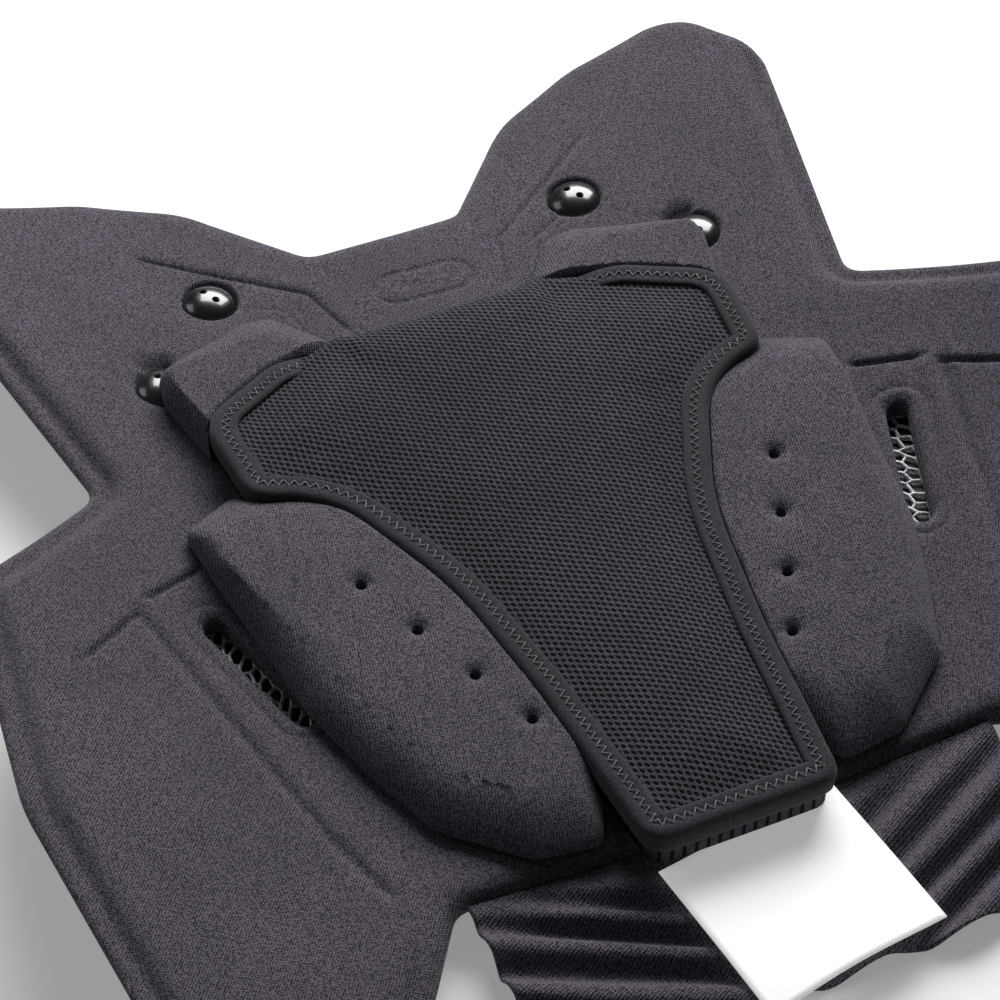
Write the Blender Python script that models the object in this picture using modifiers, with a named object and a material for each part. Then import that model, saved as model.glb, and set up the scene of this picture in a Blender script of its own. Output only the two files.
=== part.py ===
"""Chest protector, lying on its moulded outer shell with the padded inner face up.

Every layer is drawn on a flat plan and then bent by one curve of the chest, so that the layers
keep their gaps. In the plan y is 0 on the line through the two upper bolts and grows towards the
neck, x is 0 on the middle line, and z is 0 on the inner face of the foam liner.
"""

import math
from collections import namedtuple

import bmesh
import bpy
from mathutils import Matrix, Vector

# Whole plate, in metres
HALF_WIDTH = 0.196
PLATE_LENGTH = 0.3835
SHOULDER_REACH = 0.0735
WING_RISE = 0.0388
WING_CURVE = 2.6
BELLY_DROP = 0.007
CLEARANCE = 0.0003

# Foam liner
LINER_THICKNESS = 0.008
RIM_WIDTH = 0.008
RIM_DROP = 0.004
CREASE_WIDTH = 0.0032
CREASE_DEPTH = 0.0018

# Moulded shell
SHELL_THICKNESS = 0.0034
SHELL_INSET = 0.010
SHELL_EDGE = 0.0011
REST_PANEL_HALF_WIDTH = 0.052
REST_PANEL_TOP = 0.004
REST_PANEL_LENGTH = 0.230
REST_PANEL_ROUND = 0.016
REST_STEP = 0.0012

# Vent slots and the honeycomb behind them
SLOT_WIDTH = 0.0086
SLOT_LENGTH = 0.051
SLOT_ACROSS = 0.1125
SLOT_ALONG = 0.164
SLOT_LEAN = math.radians(18.5)
GRILLE_WIDTH = 0.0150
GRILLE_LENGTH = 0.0575
GRILLE_THICKNESS = 0.0016
CELL_PITCH = 0.0047
STRAND_WIDTH = 0.0015
POCKET_DEPTH = 0.0020

# Mesh panel and its binding
PANEL_HALF_WIDTH = 0.0960
PANEL_TOP = 0.0405
PANEL_LENGTH = 0.2400
PANEL_HEIGHT = 0.0170
PANEL_SHOULDER_HEIGHT = 0.0136
BINDING_WIDTH = 0.0088
BINDING_THICKNESS = 0.0018
BINDING_LAP = 0.0045
BINDING_SOFTNESS = 0.55
PANEL_SWELL_SHARE = 0.45

# Raised pads
PAD_HEIGHT = 0.0145
PAD_GAP = 0.0006
LOWER_PAD_INNER = 0.0370
LOWER_PAD_TOP = 0.0960
LOWER_PAD_WIDTH = 0.0765
LOWER_PAD_LENGTH = 0.1715
UPPER_PAD_INNER = 0.0400
UPPER_PAD_TOP = 0.0200
UPPER_PAD_WIDTH = 0.0600
UPPER_PAD_LENGTH = 0.0700
HOLE_COUNT = 4
HOLE_BORE = 0.0040
HOLE_MOUTH = 0.0086
HOLE_DEPTH = 0.0110
HOLE_DISH_DEPTH = 0.0026

# Bolts
BOLT_HEAD = 0.0190
BOLT_DOME = 0.0060
BOLT_HEAD_EDGE = 0.0008
BOLT_SHANK = 0.0060
BOLT_WASHER = 0.0110
BOLT_WASHER_THICKNESS = 0.0018
BOLT_RECESS = 0.0008
WASHER_SETTLE = 0.0004
SPANNER_HOLE = 0.0019
SPANNER_DEPTH = 0.0022
SPANNER_SPACING = 0.0058

# Label and gathered gusset
LABEL_WIDTH = 0.0620
LABEL_LENGTH = 0.0560
LABEL_TUCK = 0.0120
LABEL_THICKNESS = 0.0006
LABEL_FALL = 0.0015
LABEL_TURN = math.radians(9)
GUSSET_HALF_WIDTH = 0.0860
GUSSET_LENGTH = 0.0600
GUSSET_THICKNESS = 0.0015
FOLD_PITCH = 0.0130
FOLD_DEPTH = 0.0026
FOLD_SLANT = math.radians(24)
FLAT_SHARE = 0.25

# Fineness of the solids
ARC_STEPS = 3
FOLD_LINES = 9
FOLD_LINE_SPREAD = 0.7
ROUND_SIDES = 12
HOLE_SIDES = 6
DOME_ANGLES = (24, 48, 70, 85)
LABEL_STEPS = 4
GUSSET_STEPS_ACROSS = 10
STEPS_PER_FOLD = 4
MERGE_REACH = 0.00001

Corner = namedtuple("Corner", "across along radius")
PadCorner = namedtuple("PadCorner", "base_across base_along top_across top_along radius")
Place = namedtuple("Place", "across along")
Ring = namedtuple("Ring", "inset level")

# Right half of the plate from the neck to the belly: across in shares of the half width,
# along in shares of the length from the shoulder tops down, radius in shares of the half width
PLATE_CORNERS = (
    Corner(0.143, 0.153, 0.041),
    Corner(0.316, 0.052, 0.180),
    Corner(0.485, 0.014, 0.200),
    Corner(0.719, 0.000, 0.112),
    Corner(0.811, 0.100, 0.153),
    Corner(0.690, 0.394, 0.046),
    Corner(0.952, 0.490, 0.092),
    Corner(1.000, 0.726, 0.306),
    Corner(0.939, 0.984, 0.102),
    Corner(0.622, 1.000, 0.082),
    Corner(0.459, 0.874, 0.051),
)

# Right half of the mesh panel from the neck edge down, in shares of its half width and length,
# radius in shares of its half width
PANEL_CORNERS = (
    Corner(0.375, 0.000, 0.050),
    Corner(0.690, 0.050, 0.300),
    Corner(0.980, 0.122, 0.100),
    Corner(0.945, 0.278, 0.085),
    Corner(0.700, 0.298, 0.340),
    Corner(0.470, 0.505, 1.300),
    Corner(0.390, 0.715, 2.400),
    Corner(0.325, 1.000, 0.075),
)

# Lower pad: outline of its base and of its flat top, in shares of its width from the inner side
# and of its length from its top, radius in shares of its width
LOWER_PAD_CORNERS = (
    PadCorner(0.30, 0.010, 0.30, 0.120, 0.03),
    PadCorner(0.76, 0.000, 0.73, 0.112, 0.10),
    PadCorner(1.00, 0.065, 0.90, 0.160, 0.06),
    PadCorner(0.965, 0.200, 0.925, 0.212, 0.06),
    PadCorner(0.860, 0.540, 0.710, 0.545, 0.20),
    PadCorner(0.745, 0.710, 0.600, 0.695, 0.20),
    PadCorner(0.615, 0.865, 0.520, 0.790, 0.08),
    PadCorner(0.31, 0.985, 0.25, 0.890, 0.08),
    PadCorner(0.03, 1.000, 0.09, 0.860, 0.06),
    PadCorner(-0.10, 0.850, -0.04, 0.800, 0.06),
    PadCorner(-0.02, 0.500, 0.00, 0.500, 0.06),
)

# Upper pad, in shares of its width from the inner side and of its length from its top
UPPER_PAD_CORNERS = (
    PadCorner(-0.05, 0.250, 0.10, 0.330, 0.06),
    PadCorner(0.20, 0.000, 0.27, 0.110, 0.07),
    PadCorner(0.36, 0.000, 0.38, 0.100, 0.07),
    PadCorner(0.82, 0.180, 0.79, 0.260, 0.10),
    PadCorner(0.97, 0.270, 0.91, 0.315, 0.06),
    PadCorner(0.99, 0.400, 0.93, 0.420, 0.06),
    PadCorner(0.86, 0.900, 0.80, 0.850, 0.06),
    PadCorner(0.10, 0.900, 0.12, 0.850, 0.06),
)

# Raised section of a pad: blend from base to top outline, and share of the pad's height
PAD_SECTION = (
    (0.00, 0.00),
    (0.00, 0.20),
    (0.10, 0.36),
    (0.86, 0.93),
    (1.00, 1.00),
)

# Pressed creases on the right of the liner, in shares of the half width and of the length
COLLAR_CREASE = (Place(0.437, 0.111), Place(0.184, 0.206), Place(0.150, 0.266))
INNER_CREASE = (Place(0.310, 0.201), Place(0.242, 0.220), Place(0.210, 0.270))
SIDE_CREASE = (Place(0.826, 0.585), Place(0.714, 0.541), Place(0.592, 0.794))
ARMPIT_CREASE = (Place(0.693, 0.527), Place(0.587, 0.501))
CREASES = (COLLAR_CREASE, INNER_CREASE, SIDE_CREASE, ARMPIT_CREASE)

# Bolts on the right, in metres from the middle line and from the upper bolts' line down
BOLT_PLACES = {
    "bolt_upper": Place(0.0690, 0.0000),
    "bolt_lower": Place(0.0980, 0.0370),
}

# Ends of the row of holes in a lower pad, in shares of its width and length
FIRST_HOLE = Place(0.450, 0.328)
LAST_HOLE = Place(0.085, 0.729)

# Levels that several pieces share
SHELL_TOP = -LINER_THICKNESS - CLEARANCE
SHELL_UNDERSIDE = SHELL_TOP - SHELL_THICKNESS
PLATE_BOTTOM = SHOULDER_REACH - PLATE_LENGTH
BELLY_EDGE = SHOULDER_REACH - PLATE_LENGTH * PLATE_CORNERS[-1].along


def fold_lines():
    """Distances from the middle line at which the plan is bent, closer together on the wings."""
    return [HALF_WIDTH * (k / FOLD_LINES) ** FOLD_LINE_SPREAD for k in range(FOLD_LINES + 1)]


def wing_height(across):
    return WING_RISE * (across / HALF_WIDTH) ** WING_CURVE


def chest_height(x, y):
    """Height of the liner's inner face over a place on the plan, straight between fold lines."""
    lines = fold_lines()
    across = abs(x)
    inner, outer = lines[-2], lines[-1]
    for start, end in zip(lines, lines[1:]):
        if across <= end:
            inner, outer = start, end
            break
    share = (across - inner) / (outer - inner)
    rise = wing_height(inner) + share * (wing_height(outer) - wing_height(inner))
    return rise + BELLY_DROP * min(y, 0) / -PLATE_BOTTOM


REST_LEVEL = chest_height(0, BELLY_EDGE) + SHELL_UNDERSIDE - REST_STEP


# Plan outlines


def turned_left(before, corner, after):
    a = Vector(corner) - Vector(before)
    b = Vector(after) - Vector(corner)
    return a.x * b.y - a.y * b.x > 0


def moved_corners(corners, inset):
    """Corners of an outline that runs clockwise, moved inwards, with their radii to match."""
    moved = []
    count = len(corners)
    for index, (x, y, radius) in enumerate(corners):
        before = corners[index - 1]
        after = corners[(index + 1) % count]
        first = (Vector((x, y)) - Vector(before[:2])).normalized()
        second = (Vector(after[:2]) - Vector((x, y))).normalized()
        inward = Vector((first.y, -first.x)) + Vector((second.y, -second.x))
        reach = inset * 2 / inward.length_squared
        concave = turned_left(before[:2], (x, y), after[:2])
        new_radius = radius + inset if concave else max(radius - inset, CLEARANCE)
        moved.append((x + inward.x * reach, y + inward.y * reach, new_radius))
    return moved


def rounded(corners):
    """Points of a closed outline whose corners are arcs of ARC_STEPS steps."""
    points = []
    count = len(corners)
    for index, (x, y, radius) in enumerate(corners):
        corner = Vector((x, y))
        back = (Vector(corners[index - 1][:2]) - corner).normalized()
        ahead = (Vector(corners[(index + 1) % count][:2]) - corner).normalized()
        half_angle = back.angle(ahead) / 2
        reach = radius / math.tan(half_angle)
        centre = corner + (back + ahead).normalized() * radius / math.sin(half_angle)
        start = corner + back * reach - centre
        sweep = start.angle_signed(corner + ahead * reach - centre)
        for step in range(ARC_STEPS + 1):
            turned = Matrix.Rotation(-sweep * step / ARC_STEPS, 2) @ start
            points.append(centre + turned)
    return points


def mirrored(right_half):
    return list(right_half) + [(-x, y, radius) for x, y, radius in reversed(right_half)]


def plate_corners():
    half = [
        (c.across * HALF_WIDTH, SHOULDER_REACH - c.along * PLATE_LENGTH, c.radius * HALF_WIDTH)
        for c in PLATE_CORNERS
    ]
    return mirrored(half)


def panel_corners():
    half = [
        (c.across * PANEL_HALF_WIDTH, -PANEL_TOP - c.along * PANEL_LENGTH, c.radius * PANEL_HALF_WIDTH)
        for c in PANEL_CORNERS
    ]
    return mirrored(half)


def ring_points(corners, ring):
    return [Vector((p.x, p.y, ring.level)) for p in rounded(moved_corners(corners, ring.inset))]


# Solids on the plan


def finish_mesh(name, bm):
    bmesh.ops.recalc_face_normals(bm, faces=bm.faces)
    mesh = bpy.data.meshes.new(name)
    bm.to_mesh(mesh)
    bm.free()
    return mesh


def lofted(name, rings, closed=True):
    """Solid through rings of equal length, stacked from one end to the other, with both ends capped."""
    bm = bmesh.new()
    rows = [[bm.verts.new(point) for point in ring] for ring in rings]
    for lower, upper in zip(rows, rows[1:]):
        for index in range(len(lower)):
            if index or closed:
                bm.faces.new((lower[index - 1], lower[index], upper[index], upper[index - 1]))
    if closed:
        bm.faces.new(rows[0])
        bm.faces.new(rows[-1])
    else:
        for a, b in zip(rows[-1], rows[-1][1:]):
            index = rows[-1].index(a)
            bm.faces.new((a, b, rows[0][index + 1], rows[0][index]))
        bm.faces.new([row[0] for row in rows])
        bm.faces.new([row[-1] for row in rows])
    return finish_mesh(name, bm)


def turned_mesh(name, profile, sides):
    """Solid turned about z from a profile that runs down its outer side."""
    mesh = bpy.data.meshes.new(name)
    points = [(radius, 0, level) for radius, level in profile]
    mesh.from_pydata(points, [(k, k + 1) for k in range(len(points) - 1)], [])
    turned = bpy.data.objects.new(name, mesh)
    bpy.context.scene.collection.objects.link(turned)
    screw = turned.modifiers.new("Turn", "SCREW")
    screw.steps = sides
    screw.render_steps = sides
    screw.use_merge_vertices = True
    screw.merge_threshold = MERGE_REACH
    solid = evaluated_mesh(turned)
    bpy.data.objects.remove(turned)
    bm = bmesh.new()
    bm.from_mesh(solid)
    bmesh.ops.remove_doubles(bm, verts=bm.verts, dist=MERGE_REACH)
    return finish_mesh(name, bm)


def evaluated_mesh(obj):
    graph = bpy.context.evaluated_depsgraph_get()
    graph.update()
    return bpy.data.meshes.new_from_object(obj.evaluated_get(graph))


def bent(mesh, rest_ring=None):
    """Cuts the plan solid along the fold lines and lifts it onto the curve of the chest.

    Where rest_ring is given as (top level, bottom level), points at the bottom level go flat to
    the resting plane instead, and those between are blended.
    """
    bm = bmesh.new()
    bm.from_mesh(mesh)
    for line in fold_lines()[1:-1]:
        for x in (-line, line):
            everything = bm.verts[:] + bm.edges[:] + bm.faces[:]
            bmesh.ops.bisect_plane(bm, geom=everything, plane_co=(x, 0, 0), plane_no=(1, 0, 0))
    everything = bm.verts[:] + bm.edges[:] + bm.faces[:]
    bmesh.ops.bisect_plane(bm, geom=everything, plane_co=(0, 0, 0), plane_no=(0, 1, 0))
    bmesh.ops.triangulate(bm, faces=bm.faces)
    for vert in bm.verts:
        lift = chest_height(vert.co.x, vert.co.y)
        if rest_ring:
            top, bottom = rest_ring
            share = (vert.co.z - bottom) / (top - bottom)
            vert.co.z = share * (top + lift) + (1 - share) * REST_LEVEL
        else:
            vert.co.z += lift
    return finish_mesh(mesh.name, bm)


def flipped(mesh, name):
    """Copy of a mesh for the other side of the middle line."""
    bm = bmesh.new()
    bm.from_mesh(mesh)
    bmesh.ops.scale(bm, vec=(-1, 1, 1), verts=bm.verts)
    return finish_mesh(name, bm)


# Scene, materials and cutting


def clear_scene():
    for obj in list(bpy.data.objects):
        bpy.data.objects.remove(obj)


def add_collection(name):
    collection = bpy.data.collections.new(name)
    bpy.context.scene.collection.children.link(collection)
    return collection


def add_material(name, colour, roughness):
    material = bpy.data.materials.new(name)
    material.use_nodes = True
    shader = material.node_tree.nodes["Principled BSDF"]
    shader.inputs["Base Color"].default_value = (*colour, 1)
    shader.inputs["Roughness"].default_value = roughness
    shader.inputs["Metallic"].default_value = 0
    return material


class Workshop:
    """Holds the collections, the empty that every piece hangs on, and the materials."""

    def __init__(self):
        clear_scene()
        self.parts = add_collection("chest_protector")
        self.cutters = add_collection("cutters")
        self.frame = bpy.data.objects.new("chest_frame", None)
        self.parts.objects.link(self.frame)
        self.shell = add_material("shell_plastic", (0.012, 0.012, 0.014), 0.45)
        self.jersey = add_material("jersey", (0.075, 0.068, 0.082), 0.92)
        self.pad_jersey = add_material("pad_jersey", (0.078, 0.070, 0.086), 0.92)
        self.mesh_cloth = add_material("panel_mesh", (0.040, 0.038, 0.044), 0.85)
        self.binding = add_material("binding_tape", (0.050, 0.045, 0.056), 0.90)
        self.gloss = add_material("bolt_gloss", (0.008, 0.008, 0.010), 0.12)
        self.strand = add_material("grille_strand", (0.62, 0.64, 0.66), 0.25)
        self.satin = add_material("label_satin", (0.86, 0.86, 0.86), 0.55)

    def add(self, name, mesh, material):
        piece = bpy.data.objects.new(name, mesh)
        piece.parent = self.frame
        self.parts.objects.link(piece)
        mesh.name = name
        mesh.materials.clear()
        mesh.materials.append(material)
        return piece

    def add_cutter(self, name, mesh):
        cutter = bpy.data.objects.new(name, mesh)
        cutter.parent = self.frame
        cutter.hide_render = True
        cutter.display_type = "WIRE"
        self.cutters.objects.link(cutter)
        return cutter

    def stand_on_floor(self):
        """Moves the whole protector so that it rests on z = 0 with its box centred on the origin."""
        graph = bpy.context.evaluated_depsgraph_get()
        graph.update()
        corners = []
        for piece in self.parts.objects:
            if piece.type == "MESH":
                placed = piece.evaluated_get(graph)
                corners += [placed.matrix_world @ Vector(corner) for corner in placed.bound_box]
        low = [min(corner[axis] for corner in corners) for axis in range(3)]
        high = [max(corner[axis] for corner in corners) for axis in range(3)]
        self.frame.location = (-(low[0] + high[0]) / 2, -(low[1] + high[1]) / 2, -low[2])

    def cut(self, piece, cutter, operation="DIFFERENCE"):
        boolean = piece.modifiers.new(cutter.name, "BOOLEAN")
        boolean.operation = operation
        boolean.solver = "EXACT"
        boolean.object = cutter

    def cut_on_plan(self, mesh, cutters):
        """The mesh with the cutters taken out, as a plain mesh that is still flat."""
        piece = self.add_cutter(mesh.name + "_plan", mesh)
        for cutter in cutters:
            self.cut(piece, cutter)
        result = evaluated_mesh(piece)
        result.name = mesh.name
        bpy.data.objects.remove(piece)
        return result


# Vent slots


def slot_outline(width, length):
    """Corners of an upright slot with rounded ends, about its own centre."""
    half_width = width / 2
    half_length = length / 2
    radius = half_width - CLEARANCE / 2
    return [
        (half_width, half_length, radius),
        (half_width, -half_length, radius),
        (-half_width, -half_length, radius),
        (-half_width, half_length, radius),
    ]


def slot_place():
    centre = Matrix.Translation((SLOT_ACROSS, -SLOT_ALONG, 0))
    return centre @ Matrix.Rotation(-SLOT_LEAN, 4, "Z")


def slot_solid(name, width, length, bottom, top):
    corners = slot_outline(width, length)
    rings = [ring_points(corners, Ring(0, level)) for level in (bottom, top)]
    mesh = lofted(name, rings)
    mesh.transform(slot_place())
    return mesh


def both_sides(mesh):
    """One mesh that holds a solid and its mirror image."""
    bm = bmesh.new()
    bm.from_mesh(mesh)
    bm.from_mesh(flipped(mesh, mesh.name))
    return finish_mesh(mesh.name, bm)


def crease_solid(route):
    """V-shaped cutter along a route on the liner."""
    places = [
        Vector((p.across * HALF_WIDTH, SHOULDER_REACH - p.along * PLATE_LENGTH, 0)) for p in route
    ]
    half = CREASE_WIDTH / 2
    rings = []
    for index, place in enumerate(places):
        before = places[max(index - 1, 0)]
        after = places[min(index + 1, len(places) - 1)]
        arriving = (place - before).normalized()
        leaving = (after - place).normalized()
        forward = (arriving + leaving).normalized()
        mitre = max(forward.dot(arriving), forward.dot(leaving))
        side = Vector((forward.y, -forward.x, 0)) / mitre
        up = Vector((0, 0, 1))
        section = (side * -2 * half + up * CREASE_DEPTH, up * -CREASE_DEPTH, side * 2 * half + up * CREASE_DEPTH)
        rings.append([place + corner for corner in section])
    return lofted("crease", rings)


# Pieces


def make_liner(shop):
    corners = plate_corners()
    rings = (
        Ring(0, -LINER_THICKNESS),
        Ring(0, -RIM_DROP - CREASE_DEPTH / 2),
        Ring(CREASE_DEPTH, -RIM_DROP),
        Ring(RIM_WIDTH - CREASE_DEPTH, -RIM_DROP),
        Ring(RIM_WIDTH, -RIM_DROP / 3),
        Ring(RIM_WIDTH + RIM_DROP, 0),
    )
    mesh = lofted("chest_liner", [ring_points(corners, ring) for ring in rings])
    slot = slot_solid("liner_slots", SLOT_WIDTH, SLOT_LENGTH, -2 * LINER_THICKNESS, LINER_THICKNESS)
    cutters = [shop.add_cutter("liner_slots", both_sides(slot))]
    for number, route in enumerate(CREASES):
        name = "liner_creases_" + str(number + 1)
        cutters.append(shop.add_cutter(name, both_sides(crease_solid(route))))
    return shop.add("chest_liner", bent(shop.cut_on_plan(mesh, cutters)), shop.jersey)


def make_shell(shop):
    corners = plate_corners()
    rings = (
        Ring(SHELL_INSET + SHELL_EDGE, SHELL_UNDERSIDE),
        Ring(SHELL_INSET, SHELL_UNDERSIDE + SHELL_EDGE),
        Ring(SHELL_INSET, SHELL_TOP - SHELL_EDGE),
        Ring(SHELL_INSET + SHELL_EDGE, SHELL_TOP),
    )
    mesh = lofted("outer_shell", [ring_points(corners, ring) for ring in rings])
    width = GRILLE_WIDTH + 2 * CLEARANCE
    length = GRILLE_LENGTH + 2 * CLEARANCE
    pocket = slot_solid("shell_pockets", width, length, SHELL_TOP - POCKET_DEPTH, LINER_THICKNESS)
    cutter = shop.add_cutter("shell_pockets", both_sides(pocket))
    shell = shop.add("outer_shell", bent(shop.cut_on_plan(mesh, [cutter])), shop.shell)
    shop.cut(shell, shop.add_cutter("rest_panel", rest_panel_mesh()), "UNION")
    return shell


def rest_panel_mesh():
    """Raised panel in the middle of the shell's outer face, flat where the plate lies on it."""
    bottom = REST_PANEL_TOP - REST_PANEL_LENGTH
    half = [
        (REST_PANEL_HALF_WIDTH, REST_PANEL_TOP, REST_PANEL_ROUND),
        (REST_PANEL_HALF_WIDTH, bottom, REST_PANEL_ROUND),
    ]
    corners = mirrored(half)
    inside = SHELL_TOP - SHELL_THICKNESS / 2
    below = SHELL_UNDERSIDE - REST_STEP
    rings = [ring_points(corners, Ring(-REST_STEP, inside)), ring_points(corners, Ring(0, below))]
    return bent(lofted("rest_panel", rings), (inside, below))


def make_grille(shop):
    """Honeycomb of thin strands in the shell's pocket, cut through in rows of six-sided cells."""
    floor = SHELL_TOP - POCKET_DEPTH + CLEARANCE
    corners = slot_outline(GRILLE_WIDTH, GRILLE_LENGTH)
    top = floor + GRILLE_THICKNESS
    plate = lofted("vent_grille", [ring_points(corners, Ring(0, level)) for level in (floor, top)])
    row_step = CELL_PITCH * math.sqrt(3) / 2
    radius = (CELL_PITCH - STRAND_WIDTH) / math.sqrt(3)
    margin = radius + STRAND_WIDTH
    rows = int((GRILLE_LENGTH - 2 * margin) / row_step) + 1
    columns = int((GRILLE_WIDTH - 2 * margin) / CELL_PITCH) + 1
    cells = bmesh.new()
    for row in range(rows):
        in_row = columns - row % 2 if columns > 1 else 1
        for column in range(in_row):
            x = (column - (in_row - 1) / 2) * CELL_PITCH
            y = (row - (rows - 1) / 2) * row_step
            place = Matrix.Translation((x, y, floor + GRILLE_THICKNESS / 2))
            place = place @ Matrix.Rotation(math.radians(30), 4, "Z")
            bmesh.ops.create_cone(
                cells,
                cap_ends=True,
                segments=6,
                radius1=radius,
                radius2=radius,
                depth=2 * GRILLE_THICKNESS,
                matrix=place,
            )
    cutter = shop.add_cutter("grille_cells", finish_mesh("grille_cells", cells))
    pierced = shop.cut_on_plan(plate, [cutter])
    pierced.transform(slot_place())
    right = bent(pierced)
    shop.add("vent_grille_left", flipped(right, "vent_grille_left"), shop.strand)
    shop.add("vent_grille_right", right, shop.strand)


def make_panel(shop):
    corners = panel_corners()
    under_binding = PANEL_SHOULDER_HEIGHT
    over_binding = under_binding + CLEARANCE
    body = BINDING_THICKNESS + 2 * CLEARANCE
    pillow = BINDING_WIDTH + CLEARANCE
    swell = PANEL_HEIGHT - under_binding
    rings = (
        Ring(body, CLEARANCE),
        Ring(body, under_binding),
        Ring(pillow, under_binding),
        Ring(pillow, under_binding + swell * PANEL_SWELL_SHARE),
        Ring(pillow + swell, PANEL_HEIGHT),
    )
    mesh = lofted("mesh_panel", [ring_points(corners, ring) for ring in rings])
    shop.add("mesh_panel", bent(mesh), shop.mesh_cloth)
    lap = under_binding - BINDING_LAP
    crest = over_binding + BINDING_THICKNESS
    soft = BINDING_THICKNESS * BINDING_SOFTNESS
    section = (
        Ring(BINDING_THICKNESS, over_binding),
        Ring(BINDING_THICKNESS, lap),
        Ring(0, lap),
        Ring(0, crest - soft),
        Ring(soft, crest),
        Ring(BINDING_WIDTH - soft, crest),
        Ring(BINDING_WIDTH, crest - soft),
        Ring(BINDING_WIDTH, over_binding),
    )
    band = lofted("panel_binding", [ring_points(corners, ring) for ring in section], closed=False)
    shop.add("panel_binding", bent(band), shop.binding)


def pad_corners(rows, inner, top, width, length, blend):
    corners = []
    for row in rows:
        across = row.base_across + blend * (row.top_across - row.base_across)
        along = row.base_along + blend * (row.top_along - row.base_along)
        corners.append((inner + across * width, -top - along * length, row.radius * width))
    return corners


def pad_mesh(name, rows, inner, top, width, length):
    rings = []
    for blend, rise in PAD_SECTION:
        corners = pad_corners(rows, inner, top, width, length, blend)
        level = CLEARANCE + rise * (PAD_HEIGHT - CLEARANCE)
        rings.append(ring_points(corners, Ring(0, level)))
    return lofted(name, rings)


def panel_clearance(shop):
    """Cutter of the mesh panel's outline and a gap, which the pads end against."""
    corners = panel_corners()
    rings = [ring_points(corners, Ring(-PAD_GAP, level)) for level in (-PAD_HEIGHT, 2 * PAD_HEIGHT)]
    return shop.add_cutter("panel_clearance", lofted("panel_clearance", rings))


def pad_holes(shop):
    profile = (
        (0, PAD_HEIGHT),
        (HOLE_MOUTH / 2, PAD_HEIGHT),
        (HOLE_MOUTH / 2, 0),
        (HOLE_BORE / 2, -HOLE_DISH_DEPTH),
        (HOLE_BORE / 2, -HOLE_DEPTH),
        (0, -HOLE_DEPTH),
    )
    hole = turned_mesh("pad_hole", profile, HOLE_SIDES)
    bm = bmesh.new()
    for number in range(HOLE_COUNT):
        share = number / (HOLE_COUNT - 1)
        across = FIRST_HOLE.across + share * (LAST_HOLE.across - FIRST_HOLE.across)
        along = FIRST_HOLE.along + share * (LAST_HOLE.along - FIRST_HOLE.along)
        x = LOWER_PAD_INNER + across * LOWER_PAD_WIDTH
        y = -LOWER_PAD_TOP - along * LOWER_PAD_LENGTH
        copy = hole.copy()
        copy.transform(Matrix.Translation((x, y, PAD_HEIGHT)))
        bm.from_mesh(copy)
    return shop.add_cutter("pad_holes", finish_mesh("pad_holes", bm))


def make_pads(shop):
    clearance = panel_clearance(shop)
    lower = pad_mesh(
        "lower_pad_right",
        LOWER_PAD_CORNERS,
        LOWER_PAD_INNER,
        LOWER_PAD_TOP,
        LOWER_PAD_WIDTH,
        LOWER_PAD_LENGTH,
    )
    lower = bent(shop.cut_on_plan(lower, [clearance, pad_holes(shop)]))
    upper = pad_mesh(
        "upper_pad_right",
        UPPER_PAD_CORNERS,
        UPPER_PAD_INNER,
        UPPER_PAD_TOP,
        UPPER_PAD_WIDTH,
        UPPER_PAD_LENGTH,
    )
    upper = bent(shop.cut_on_plan(upper, [clearance]))
    pads = []
    for name, mesh in (("lower_pad", lower), ("upper_pad", upper)):
        pads.append(shop.add(name + "_left", flipped(mesh, name + "_left"), shop.pad_jersey))
        pads.append(shop.add(name + "_right", mesh, shop.pad_jersey))
    return pads


# Bolts


def bolt_levels():
    """Levels along a bolt's axis: underside of the head, and the two faces of its washer."""
    washer_top = SHELL_UNDERSIDE - CLEARANCE - WASHER_SETTLE
    return CLEARANCE - BOLT_RECESS, washer_top, washer_top - BOLT_WASHER_THICKNESS


def bolt_mesh():
    """Domed head, shank and washer of one bolt about the z axis."""
    head, washer_top, washer_bottom = bolt_levels()
    dome = [(0, head + BOLT_DOME)]
    for angle in DOME_ANGLES:
        radians = math.radians(angle)
        rise = head + BOLT_HEAD_EDGE + (BOLT_DOME - BOLT_HEAD_EDGE) * math.cos(radians)
        dome.append((BOLT_HEAD / 2 * math.sin(radians), rise))
    profile = dome + [
        (BOLT_HEAD / 2, head + BOLT_HEAD_EDGE / 2),
        (BOLT_HEAD / 2 - BOLT_HEAD_EDGE / 2, head),
        (BOLT_SHANK / 2, head),
        (BOLT_SHANK / 2, washer_top),
        (BOLT_WASHER / 2, washer_top),
        (BOLT_WASHER / 2, washer_bottom),
        (0, washer_bottom),
    ]
    return turned_mesh("bolt", profile, ROUND_SIDES)


def bolt_room_mesh(above):
    """Cutter that leaves a clearance round a bolt: a shank hole and a recess for the head."""
    head, _, washer_bottom = bolt_levels()
    room = BOLT_HEAD / 2 + CLEARANCE
    shank = BOLT_SHANK / 2 + CLEARANCE
    profile = (
        (0, head + above),
        (room, head + above),
        (room, head - CLEARANCE),
        (shank, head - CLEARANCE),
        (shank, washer_bottom - BOLT_DOME),
        (0, washer_bottom - BOLT_DOME),
    )
    return turned_mesh("bolt_room", profile, ROUND_SIDES)


def spanner_holes_mesh():
    bm = bmesh.new()
    top = bolt_levels()[0] + BOLT_DOME
    for side in (-1, 1):
        place = Matrix.Translation((side * SPANNER_SPACING / 2, 0, top))
        bmesh.ops.create_cone(
            bm,
            cap_ends=True,
            segments=HOLE_SIDES,
            radius1=SPANNER_HOLE / 2,
            radius2=SPANNER_HOLE / 2,
            depth=2 * SPANNER_DEPTH,
            matrix=place,
        )
    return finish_mesh("spanner_holes", bm)


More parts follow.
